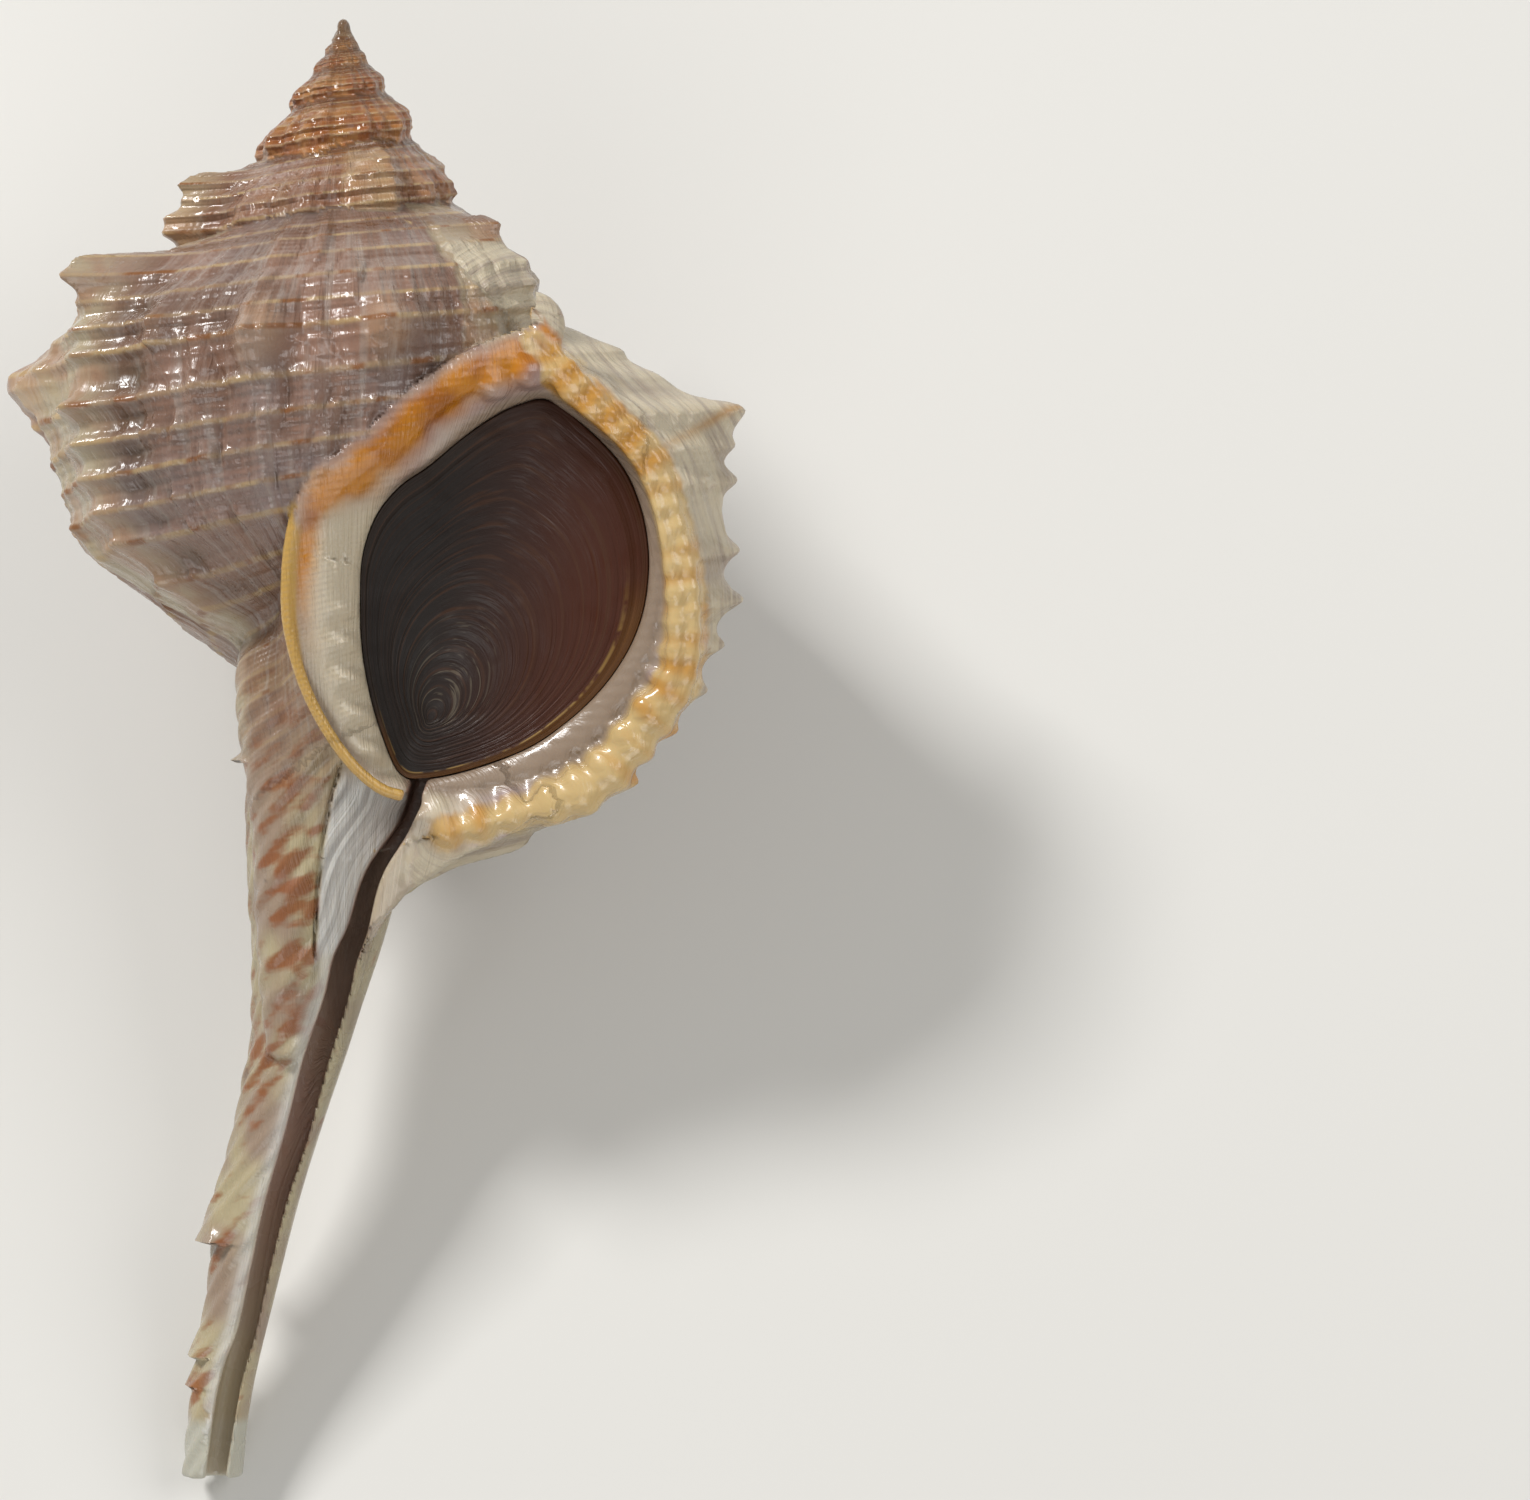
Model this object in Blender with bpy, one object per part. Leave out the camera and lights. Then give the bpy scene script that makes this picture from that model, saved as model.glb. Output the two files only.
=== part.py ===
"""Murex shell with its operculum, in metres, +Z up.

The shell is one grown solid: a spire of eight turns on one logarithmic growth
law, three spined varices to a turn, nodules between them, spiral cords, a
flared outer lip, a raised inner lip and a long canal that is open in front.
The operculum is a separate horny lid that closes the mouth.

Shell axes, in millimetres: the origin is the apex, +x is the side of the outer
lip, -y runs down the axis to the canal and +z is the side of the mouth.  The
last step lays the shell on its back, as it rests on a table.
"""

import math

import bmesh
import bpy
import numpy as np
from mathutils import Matrix, Vector

MM = 0.001

# --- growth -----------------------------------------------------------------
EXPANSION = 1.62            # size of a turn over the size of the turn before
LIP_ANGLE = 205.0           # growth angle where the last turn ends, degrees
FILL_ANGLE = 318.0          # the whorl behind the mouth is solid up to here
SHELL_LENGTH = 88.0         # apex to tip of the canal
TURNS = 8
SPIRE_SLENDER = 0.22        # the early turns are this much slimmer

# Half outline of a turn at unit size: distance from apex, distance from axis.
SUTURE = 14.94
WHORL_OUTLINE = (
    (8.0, -4.0), (11.0, 2.6), (12.6, 6.0), (13.9, 8.6), (SUTURE, 10.0), (16.6, 12.1),
    (18.6, 14.6), (19.9, 15.5), (22.0, 16.0), (24.2, 16.2), (28.3, 15.7),
    (32.5, 13.9), (36.0, 10.2), (38.0, 7.2), (39.6, 4.6), (41.0, 2.2),
    (43.0, 0.2), (46.0, -1.5), (54.0, -8.0),
)
# Height of a varix crest above that outline, down the turn.
VARIX_HEIGHT = (
    (13.4, 0.0), (14.5, 0.5), (15.4, 1.6), (16.6, 2.4), (17.9, 3.2),
    (20.0, 2.3), (22.3, 1.9), (24.5, 1.8), (27.0, 1.8), (29.0, 1.8),
    (31.2, 1.9), (33.8, 1.8), (35.8, 2.4), (37.0, 2.7), (38.0, 2.4),
    (39.2, 0.9), (42.0, 0.0),
)
# Each varix: growth angle of its crest, height, and lean and height of its
# shoulder spine.  The older ones follow at an even spacing.
VARICES = (
    (192.0, 1.0, 0.0, 1.9), (68.0, 0.95, 2.3, 2.8), (-30.0, 0.9, 2.0, 5.7),
    (-150.0, 0.55, 0.6, 0.8), (-265.0, 0.95, 1.8, 2.2), (-375.0, 0.9, 2.0, 4.6),
    (-495.0, 0.6, 1.0, 1.2),
)
OLD_VARIX = (0.45, 1.0, 0.5)
VARIX_SPACING = 118.0
VARIX_BACK = 26.0           # width of the hollow slope behind a crest, degrees
VARIX_FRONT = 23.0          # width of the smooth face before it, degrees
VARIX_TOOTH = 2.4           # teeth on the edge of that face, degrees

# Spiral cords: place down the turn and height of the spine on a varix.
SHOULDER = 18.3
CORDS = (
    (14.6, 0.5), (15.5, 0.6), (16.7, 0.6), (20.0, 0.5), (21.6, 0.6), (24.8, 0.8),
    (27.1, 1.1), (29.2, 0.8), (31.3, 0.4), (33.2, 0.5), (35.6, 1.4), (37.1, 0.8),
    (38.6, 1.3), (40.4, 0.4),
)
CORD_HEIGHT = 0.32
CORD_WIDTH = 0.36

# Nodules between varices on the last turn: growth angle, height, half width in
# degrees, and where each is highest down the turn.
RIBS = (
    (70.0, 0.7, 7.0, 24.2), (120.0, 2.4, 7.5, 23.2), (168.0, 0.7, 8.0, 21.2),
    (26.0, 1.2, 9.0, 21.2), (-2.0, 3.4, 11.0, 22.2), (-8.0, 1.0, 8.0, 32.4),
    (-72.0, 1.5, 9.0, 21.2), (-100.0, 1.4, 9.0, 21.2), (-219.0, 0.8, 8.0, 21.2),
    (-372.0, 2.5, 8.0, 20.8),
)
OLD_RIB = (1.2, 8.0, 21.2)  # height, half width and place of the earlier ones

# --- canal -------------------------------------------------------------------
# Distance from apex, sideways place of the centre, half width.
CANAL = (
    (24.0, 0.0, -6.0), (32.0, 0.0, 2.0), (38.0, 0.0, 4.4), (45.0, -0.5, 5.2),
    (49.0, -0.9, 5.0), (52.5, -1.3, 4.5), (56.0, -1.7, 3.9), (59.6, -2.3, 3.3),
    (62.0, -2.75, 3.0), (66.3, -3.9, 2.7), (71.1, -5.2, 2.5), (76.5, -6.2, 2.1),
    (83.0, -7.5, 1.85), (88.5, -8.1, 1.8),
)
CANAL_BACKWARD = 2.0        # how far the tip bends away from the mouth side
CANAL_SETBACK = 1.2         # the new canal lies this far behind the old stub
CANAL_RIDGE = 0.08          # height and spacing of its slanting ridges
CANAL_RIDGE_PITCH = 2.3
CANAL_SCALES = (            # broken ends of older walls: place, length, height
    (73.8, 5.5, 1.1), (80.7, 3.5, 0.6), (82.6, 1.7, 0.5),
)
STUB = ((34.0, -0.5, 0.5), (37.5, -2.9, 2.9), (41.0, -3.4, 3.2), (48.0, -3.3, 2.9),
        (53.0, -3.4, 2.5), (58.0, -3.5, 1.9), (63.0, -3.2, 0.9))
STUB_FRONT = 1.5
SLIT = (                    # centre line of the slit and its half width
    (45.6, 4.9, 0.5), (48.5, 3.9, 0.55), (51.5, 1.95, 0.6), (54.7, 1.0, 0.7),
    (56.6, 0.2, 0.95), (59.0, -0.4, 0.95), (62.7, -1.6, 0.95), (66.9, -2.7, 0.8),
    (71.1, -4.0, 0.7), (75.3, -5.0, 0.6), (78.9, -5.8, 0.55), (82.5, -6.9, 0.7),
    (89.5, -8.0, 0.6),
)

# --- fineness of the solid ---------------------------------------------------
GRID = 0.45                 # spacing of the grid that the surface is read from
GRID_LOW = (-24.0, -0.9, -23.0)
GRID_HIGH = (28.0, 89.5, 17.5)
SHELL_TRIANGLES = 8600
RELIEF_PLACES = (8.0, 54.0)
RELIEF_STEP = 0.08
RELIEF_TURN = 1.0

# --- mouth, seen from the front: x from the axis, y down from the apex, and z --
OPENING = (
    (1.8, 35.0), (2.1, 31.0), (3.6, 27.6), (6.8, 25.2), (10.6, 23.7), (12.6, 23.5),
    (14.9, 25.3), (17.2, 27.9), (18.5, 30.6), (19.0, 34.4), (18.7, 37.6),
    (17.6, 40.6), (15.2, 43.6), (11.8, 45.4), (8.2, 46.2), (5.0, 46.2),
    (3.4, 43.6), (2.2, 39.6),
)
RIM = (                     # free edge of the inner lip, top to bottom
    (-1.3, 28.2, 12.0), (-2.2, 31.0, 11.6), (-2.6, 34.0, 11.0), (-2.5, 37.0, 10.4),
    (-1.5, 40.6, 9.6), (0.4, 44.0, 8.8), (2.6, 46.2, 8.2), (4.9, 46.9, 7.8),
)
CALLUS = (                  # outer edge of the glaze above the mouth
    (11.6, 19.0, 11.0), (8.4, 20.0, 12.4), (4.6, 22.2, 13.2), (1.2, 25.2, 13.0),
    (-1.3, 28.2, 12.0),
)
BEADS = (                   # crest of the beaded ridge, top to bottom
    (11.8, 19.3, 11.2), (12.9, 20.6, 11.2), (14.2, 22.6, 11.0), (16.2, 24.8, 10.5),
    (18.5, 27.1, 9.9), (19.6, 30.1, 9.5), (20.6, 34.6, 8.8), (20.4, 39.6, 7.6),
    (18.4, 42.4, 7.4), (15.6, 45.7, 7.0), (13.1, 47.0, 6.8), (10.0, 48.0, 6.7),
    (6.6, 48.9, 6.6),
)
BEAD_RADIUS = 1.05
BEAD_PITCH = 1.5
# Front of the mouth along the height: y, z on the axis, slope to the right.
MOUTH_PLANE = (
    (10.0, 13.9, 0.20), (23.0, 13.9, 0.20), (28.0, 12.6, 0.16), (36.0, 10.2, 0.07),
    (42.0, 8.4, 0.05), (47.0, 7.0, 0.04), (52.0, 5.6, 0.02), (58.0, 4.2, 0.0),
    (64.0, 3.0, 0.0),
)
RECESS = 1.5                # operculum face behind the mouth plane, at its left
RECESS_SLOPE = 0.05         # and deeper to the right
LID_THICK = 1.1
LID_GAP = 0.35
NUCLEUS = (5.5, 42.2)       # where the operculum began to grow
CAVITY_DEPTH = 10.5         # hollow of the last turn behind the mouth plane
CAVITY_TAPER = 0.3          # how fast it narrows inward
FOLD_HEIGHT = 0.28          # wrinkles across the inner lip
FOLD_PITCH = 2.1
GLAZE = 0.4                 # thickness of the callus over the turn before


def smooth_max(a, b, k):
    """Greater of two fields, rounded over the length k where they meet."""
    h = np.clip(0.5 + 0.5 * (a - b) / k, 0.0, 1.0)
    return b + (a - b) * h + k * h * (1.0 - h)


def smooth_min(a, b, k):
    """Lesser of two fields, rounded over the length k where they meet."""
    return -smooth_max(-a, -b, k)


def curve_through(points, steps=24):
    """Smooth run of points (Catmull-Rom) through the given ones."""
    pts = np.array(points, dtype=float)
    pts = np.vstack([2 * pts[0] - pts[1], pts, 2 * pts[-1] - pts[-2]])
    out = []
    for a, b, c, d in zip(pts[:-3], pts[1:-2], pts[2:-1], pts[3:]):
        for u in np.linspace(0.0, 1.0, steps, endpoint=False):
            out.append(0.5 * ((2 * b) + (c - a) * u + (2 * a - 5 * b + 4 * c - d) * u * u
                              + (3 * b - a - 3 * c + d) * u ** 3))
    out.append(pts[-2])
    return np.array(out)


def bump(x, width):
    """Smooth bell of height 1 and half width `width`."""
    return np.exp(-(x / width) ** 2)


class Profile:
    """Smooth curve with one value for each place, kept as a fine table."""

    def __init__(self, points, column=1):
        run = curve_through([(p[0], p[column]) for p in points])
        self.places = run[:, 0]
        self.values = run[:, 1]

    def __call__(self, place):
        return np.interp(place, self.places, self.values)


class FrontMap:
    """Values on a fine grid over x and y, read with straight blending."""

    STEP = 0.2
    X0, X1, Y0, Y1 = -14.0, 27.0, 8.0, 92.0

    def __init__(self):
        self.xs = np.arange(self.X0, self.X1, self.STEP)
        self.ys = np.arange(self.Y0, self.Y1, self.STEP)
        self.x, self.y = np.meshgrid(self.xs, self.ys, indexing="ij")

    def read(self, table, x, y):
        u = np.clip((x - self.X0) / self.STEP, 0, len(self.xs) - 1.001)
        v = np.clip((y - self.Y0) / self.STEP, 0, len(self.ys) - 1.001)
        i = u.astype(int)
        j = v.astype(int)
        u = u - i
        v = v - j
        return ((table[i, j] * (1 - u) + table[i + 1, j] * u) * (1 - v)
                + (table[i, j + 1] * (1 - u) + table[i + 1, j + 1] * u) * v)

    def along(self, points):
        """Distance across a line, length along it, and its third coordinate."""
        run = curve_through(points, steps=5)
        best = np.full(self.x.shape, 1e9)
        length = np.zeros(self.x.shape)
        third = np.zeros(self.x.shape)
        side = np.zeros(self.x.shape)
        walked = 0.0
        for a, b in zip(run[:-1], run[1:]):
            dx, dy = b[0] - a[0], b[1] - a[1]
            seg = math.hypot(dx, dy)
            u = np.clip(((self.x - a[0]) * dx + (self.y - a[1]) * dy) / seg ** 2, 0, 1)
            off = np.hypot(self.x - a[0] - u * dx, self.y - a[1] - u * dy)
            near = off < best
            best = np.where(near, off, best)
            length = np.where(near, walked + u * seg, length)
            third = np.where(near, a[2] + u * (b[2] - a[2]), third)
            turned = dx * (self.y - a[1]) - dy * (self.x - a[0])
            side = np.where(near, np.sign(turned), side)
            walked += seg
        return best, length, third, side

    def inside(self, points):
        """Distance to a closed outline, positive inside it."""
        ring = curve_through(list(points) + list(points[:2]), steps=6)[:-6]
        px = np.append(ring[:, 0], ring[0, 0])
        py = np.append(ring[:, 1], ring[0, 1])
        best = np.full(self.x.shape, 1e9)
        crossed = np.zeros(self.x.shape, dtype=bool)
        for ax, ay, bx, by in zip(px[:-1], py[:-1], px[1:], py[1:]):
            dx, dy = bx - ax, by - ay
            seg = max(dx * dx + dy * dy, 1e-12)
            u = np.clip(((self.x - ax) * dx + (self.y - ay) * dy) / seg, 0, 1)
            best = np.minimum(best, np.hypot(self.x - ax - u * dx, self.y - ay - u * dy))
            span = (ay > self.y) != (by > self.y)
            cut = ax + (self.y - ay) * dx / (dy if abs(dy) > 1e-12 else 1e-12)
            crossed ^= span & (self.x < cut)
        return np.where(crossed, best, -best)


class ShellForm:
    """The shell as a field: positive inside, about the depth in millimetres."""

    def __init__(self):
        self.outline = Profile(WHORL_OUTLINE)
        self.varix_height = Profile(VARIX_HEIGHT)
        self.canal_x = Profile(CANAL, 1)
        self.canal_r = Profile(CANAL, 2)
        self.slit_x = Profile(SLIT, 1)
        self.stub_x = Profile(STUB, 1)
        self.stub_r = Profile(STUB, 2)
        self.plane_z = Profile(MOUTH_PLANE, 1)
        self.plane_slope = Profile(MOUTH_PLANE, 2)
        self.varices = list(VARICES)
        while self.varices[-1][0] > -360.0 * TURNS:
            self.varices.append((self.varices[-1][0] - VARIX_SPACING,) + OLD_VARIX)
        self.ribs = self.all_ribs()
        self.relief = self.make_relief()
        self.map = FrontMap()
        self.opening = self.map.inside(OPENING)
        edge = [p[:2] for p in CALLUS] + [p[:2] for p in RIM[1:]]
        behind = [(4.3, 48.4), (2.8, 51.0), (1.9, 54.0), (1.5, 57.0), (2.5, 57.0),
                  (3.4, 54.6), (5.2, 52.8), (8.5, 51.4), (13.0, 50.4), (18.0, 49.0),
                  (34.0, 50.0), (40.0, 30.0), (34.0, 10.0), (14.0, 9.0)]
        self.mouth = self.map.inside(edge + behind)
        self.beads = self.map.along(BEADS)
        self.rim = self.map.along(RIM)
        self.callus = self.map.along(CALLUS)
        self.slit = self.map.along([(p[1], p[0], p[2]) for p in SLIT])

    def all_ribs(self):
        """Nodules of the last turn, then two between each pair of older varices."""
        ribs = list(RIBS)
        angles = [varix[0] for varix in self.varices]
        for after, before in zip(angles[2:-1], angles[3:]):
            if after <= -200.0:
                gap = after - before
                ribs += [(before + share * gap,) + OLD_RIB for share in (0.40, 0.70)]
        return ribs

    def varix_level(self, place, turn):
        """Height of the varices: 1 on the crest of a full one."""
        teeth = sum(bump(place - cord, 0.75) for cord, _ in CORDS)
        edge = VARIX_FRONT + VARIX_TOOTH * (0.5 - teeth)
        level = np.zeros(np.broadcast(place, turn).shape)
        for angle, size, _, _ in self.varices:
            ahead = turn - angle
            back = np.clip(1.0 + ahead / VARIX_BACK, 0.0, 1.0) ** 2.8
            if angle < self.varices[0][0]:
                face = 1.0 - 0.80 * np.clip(ahead / VARIX_FRONT, 0.0, 1.0) ** 1.1
                face = face * np.clip((edge - ahead) / 1.0, 0.0, 1.0)
            else:
                face = np.maximum(1.0 - 0.035 * ahead, 0.5)
            level = np.maximum(level, size * np.where(ahead < 0.0, back, face))
        return level

    def spines(self, place, turn):
        """Height of the spines on the crests of the varices."""
        total = 0.0
        for angle, size, lean, tip in self.varices:
            ahead = turn - angle
            spread = np.where(ahead < 0.0, np.exp(ahead / 6.0), bump(ahead, 6.0))
            along = tip * np.exp(-((place - SHOULDER + lean) / (0.95 + 0.15 * tip)) ** 4)
            for cord, height in CORDS:
                along = along + size * height * bump(place - cord, 0.5 + 0.14 * height)
            total = total + spread * along
        return total

    def unit_radius(self, place, turn):
        """Radius of a turn at unit size."""
        slender = np.clip((-turn - 60.0) / 380.0, 0.0, 1.0)
        radius = self.outline(place) * (1.0 - SPIRE_SLENDER * slender)
        level = self.varix_level(place, turn)
        radius = radius + level * self.varix_height(place) + self.spines(place, turn)
        raised = CORD_HEIGHT * (0.75 + 0.7 * level)
        for cord, _ in CORDS + ((SHOULDER, 0.0),):
            radius = radius + raised * bump(place - cord, CORD_WIDTH)
        for angle, height, width, top in self.ribs:
            bell = bump(turn - angle, width)
            tall = bump(place - top, 2.3) + 0.3 * bump(place - 26.0, 6.0)
            radius = radius + height * bell * tall
        return radius

    def make_relief(self):
        """Unit radius as a table over place (rows) and growth angle (columns)."""
        places = np.arange(RELIEF_PLACES[0], RELIEF_PLACES[1], RELIEF_STEP)
        turns = np.arange(-360.0 * TURNS, FILL_ANGLE + 2.0, RELIEF_TURN)
        blocks = []
        for start in range(0, len(turns), 90):
            block = turns[None, start:start + 90]
            blocks.append(self.unit_radius(places[:, None], block))
        return np.concatenate(blocks, axis=1).astype(np.float32)

    def turn_field(self, radius, depth, turn):
        """Field of the turn that passes at the given growth angle."""
        size = EXPANSION ** (turn / 360.0)
        rows, columns = self.relief.shape
        u = (depth / size - RELIEF_PLACES[0]) / RELIEF_STEP
        v = (turn + 360.0 * TURNS) / RELIEF_TURN
        u = np.clip(u, 0, rows - 1.01)
        v = np.clip(v, 0, columns - 1.01)
        i = u.astype(np.int32)
        j = v.astype(np.int32)
        u = (u - i).astype(np.float32)
        v = (v - j).astype(np.float32)
        flat = self.relief.reshape(-1)
        at = i * columns + j
        low = flat[at] * (1 - v) + flat[at + 1] * v
        high = flat[at + columns] * (1 - v) + flat[at + columns + 1] * v
        return size * (low * (1 - u) + high * u) - radius

    def field(self, x, y, z):
        """Field of the whole shell; y is the depth below the apex."""
        radius = np.hypot(x, z)
        angle = 180.0 - np.degrees(np.arctan2(-z, x))
        turn = np.where(angle <= LIP_ANGLE, angle, angle - 360.0)
        size = EXPANSION ** (turn / 360.0)
        steps = np.floor(np.log(np.maximum(y, 0.05) / (SUTURE * size)) / math.log(EXPANSION))
        steps = np.minimum(steps, 0.0)
        body = self.turn_field(radius, y, turn + 360.0 * steps)
        inner = self.turn_field(radius, y, turn + 360.0 * (steps - 1.0))
        body = smooth_max(body, inner, 0.12 * size)
        upper = self.turn_field(radius, y, turn + 360.0 * np.minimum(steps + 1.0, 0.0))
        body = smooth_max(body, upper, 0.12 * size)

        front = self.plane_z(y) - self.plane_slope(y) * x
        opening = self.map.read(self.opening, x, y)
        mouth = self.map.read(self.mouth, x, y)
        dip = np.clip(1.0 + opening / 2.4, 0.0, 1.0) ** 2
        fold = np.cos(2.0 * np.pi * y / FOLD_PITCH) * bump(opening + 1.0, 1.0)
        fold = FOLD_HEIGHT * fold * np.clip(6.0 - x, 0.0, 1.0) * np.clip(y - 32.0, 0.0, 1.0)
        face = front - 1.3 * dip + fold
        last = self.turn_field(radius, y, angle)
        last = np.where((angle > 60.0) & (angle < FILL_ANGLE), last, -9.0)
        last = smooth_min(last, 0.9 * (face - z), 0.8)
        last = smooth_min(last, mouth, 0.5)
        size = EXPANSION ** (turn / 360.0)
        glaze = size * self.outline(y / size) + GLAZE - radius
        glaze = smooth_min(glaze, 0.8 * mouth, 0.5)
        glaze = np.where((angle > 200.0) & (z > 0.0), glaze, -9.0)
        body = smooth_max(body, glaze, 0.3)
        body = smooth_max(body, last, 0.4)

        # canal and the stub of the canal before it
        shift = CANAL_BACKWARD * np.clip((y - 50.0) / 38.0, 0.0, 1.0) ** 1.5
        shift = shift + CANAL_SETBACK * bump(y - 54.0, 9.0)
        centre = self.canal_x(y)
        width = self.canal_r(y)
        about = np.arctan2(z + shift, x - centre)
        ridge = np.cos(2.0 * np.pi * y / CANAL_RIDGE_PITCH + 1.5 * about)
        wall = width + CANAL_RIDGE * ridge * np.clip((y - 46.0) / 6.0, 0.0, 1.0)
        leftward = np.clip((centre - x) / width, 0.0, 1.0)
        for end, length, height in CANAL_SCALES:
            rise = np.clip((y - end + length) / length, 0.0, 1.0) ** 2
            wall = wall + height * leftward * rise * (y < end)
        canal = wall - np.hypot(x - centre, z + shift)
        stub = self.stub_r(y) - np.hypot(x - self.stub_x(y), z - STUB_FRONT)
        stub = stub + 0.6 * CANAL_RIDGE * ridge
        stub = np.where(y > STUB[0][0], smooth_min(stub, 1.4 * (STUB[-1][0] - y), 0.8), -9.0)
        body = smooth_max(body, canal, 2.2)
        body = smooth_max(body, stub, 0.5)

        # ridges round the mouth
        near = z > 2.0
        across = self.map.read(self.beads[0], x, y)
        along = self.map.read(self.beads[1], x, y)
        level = self.map.read(self.beads[2], x, y)
        swell = BEAD_RADIUS + 0.15 * np.cos(2 * np.pi * along / BEAD_PITCH)
        beads = swell - np.hypot(across / 1.25, z - level + 0.45)
        body = smooth_max(body, np.where(near, beads, -9.0), 0.5)
        across = self.map.read(self.rim[0], x, y)
        level = self.map.read(self.rim[2], x, y)
        rim = 0.55 - np.hypot(across, z - level)
        body = smooth_max(body, np.where(near, rim, -9.0), 0.5)
        across = self.map.read(self.callus[0], x, y)
        level = self.map.read(self.callus[2], x, y)
        roll = 0.75 - np.hypot((across - 0.9) / 1.6, z - level + 0.2)
        roll = np.where(near & (mouth > 0.0), roll, -9.0)
        body = smooth_max(body, roll, 0.8)

        # hollow of the mouth, slit and bore of the canal
        depth = front - z
        hollow = smooth_min(opening - CAVITY_TAPER * np.maximum(depth - 4.0, 0.0),
                            CAVITY_DEPTH - depth, 2.0)
        body = smooth_min(body, -hollow, 0.35)
        across = self.map.read(self.slit[0], x, y)
        gap = self.map.read(self.slit[2], x, y)
        slit = smooth_min(gap - across, z + shift - 0.1 * width, 0.3)
        bore = 0.5 * width - np.hypot(x - 0.5 * (centre + self.slit_x(y)), z + shift - 0.15 * width)
        bore = np.where(y > 50.0, bore, -9.0)
        slit = smooth_max(slit, bore, 0.3)
        body = smooth_min(body, -slit, 0.25)
        body = smooth_min(body, SHELL_LENGTH - y, 0.3)
        return smooth_min(body, 1.3 * (y + 0.05), 0.3)


CUBE = [(i & 1, (i >> 1) & 1, (i >> 2) & 1) for i in range(8)]
TETRAHEDRA = ((0, 1, 3, 7), (0, 3, 2, 7), (0, 2, 6, 7),
              (0, 6, 4, 7), (0, 4, 5, 7), (0, 5, 1, 7))
ONE_INSIDE = ((0, 1, 2, 3), (1, 0, 3, 2), (2, 0, 1, 3), (3, 0, 2, 1))
TWO_INSIDE = ((0, 1, 2, 3), (0, 2, 3, 1), (0, 3, 1, 2),
              (1, 2, 0, 3), (1, 3, 2, 0), (2, 3, 0, 1))


def surface_of(values, origin, step):
    """Closed triangle mesh on the zero level of a grid of field values.

    Each cube of the grid that the surface crosses is cut into six tetrahedra,
    so the mesh has no open and no doubled edges.
    """
    least = 0.06 * step
    values = np.where(np.abs(values) < least, np.where(values > 0, least, -least), values)
    shape = np.array(values.shape)
    inside = values > 0.0
    corners = [inside[dx:shape[0] - 1 + dx, dy:shape[1] - 1 + dy, dz:shape[2] - 1 + dz]
               for dx, dy, dz in CUBE]
    filled = sum(c.astype(np.int8) for c in corners)
    cells = np.argwhere((filled > 0) & (filled < 8))
    strides = np.array([shape[1] * shape[2], shape[2], 1])
    flat = values.reshape(-1)
    index = [(cells + np.array(c)) @ strides for c in CUBE]
    ends = []

    def add(*edges):
        """Keep triangles, each corner as the two grid points it lies between."""
        ends.append(np.stack([np.stack(edge, axis=1) for edge in edges], axis=1))

    for tetrahedron in TETRAHEDRA:
        point = [index[i] for i in tetrahedron]
        held = [flat[p] > 0.0 for p in point]
        total = sum(h.astype(np.int8) for h in held)
        for a, b, c, d in ONE_INSIDE:
            pick = (total == 1) & held[a]
            ia, ib, ic, id_ = (point[k][pick] for k in (a, b, c, d))
            add((ia, ib), (ia, ic), (ia, id_))
            pick = (total == 3) & ~held[a]
            ia, ib, ic, id_ = (point[k][pick] for k in (a, b, c, d))
            add((ia, ic), (ia, ib), (ia, id_))
        for a, b, c, d in TWO_INSIDE:
            pick = (total == 2) & held[a] & held[b]
            ia, ib, ic, id_ = (point[k][pick] for k in (a, b, c, d))
            add((ia, ic), (ia, id_), (ib, id_))
            add((ia, ic), (ib, id_), (ib, ic))
    ends = np.sort(np.concatenate(ends), axis=2)
    keys = ends[..., 0].astype(np.int64) * flat.size + ends[..., 1]
    unique, triangles = np.unique(keys, return_inverse=True)
    first, second = unique // flat.size, unique % flat.size
    share = flat[first] / (flat[first] - flat[second])
    places = [np.stack(np.unravel_index(i, values.shape), axis=1) for i in (first, second)]
    points = places[0] + (places[1] - places[0]) * share[:, None]
    return points * step + origin, triangles.reshape(-1, 3)


# --- making the objects --------------------------------------------------------
ROLL = 2.85                 # turn about the long axis, degrees
PITCH = 15.55               # drop of the canal, degrees


def material(name, colour, roughness):
    """Principled material of one plain colour."""
    made = bpy.data.materials.new(name)
    made.use_nodes = True
    shader = made.node_tree.nodes["Principled BSDF"]
    shader.inputs["Base Color"].default_value = (*colour, 1.0)
    shader.inputs["Roughness"].default_value = roughness
    shader.inputs["Metallic"].default_value = 0.0
    return made


def add_object(name, points, faces, finish):
    """Object from points in shell axes (depth down the axis), still upright."""
    mesh = bpy.data.meshes.new(name)
    upright = [(x * MM, -depth * MM, z * MM) for x, depth, z in points]
    mesh.from_pydata(upright, [], [tuple(face) for face in faces])
    mesh.materials.append(finish)
    made = bpy.data.objects.new(name, mesh)
    bpy.context.collection.objects.link(made)
    return made


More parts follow.
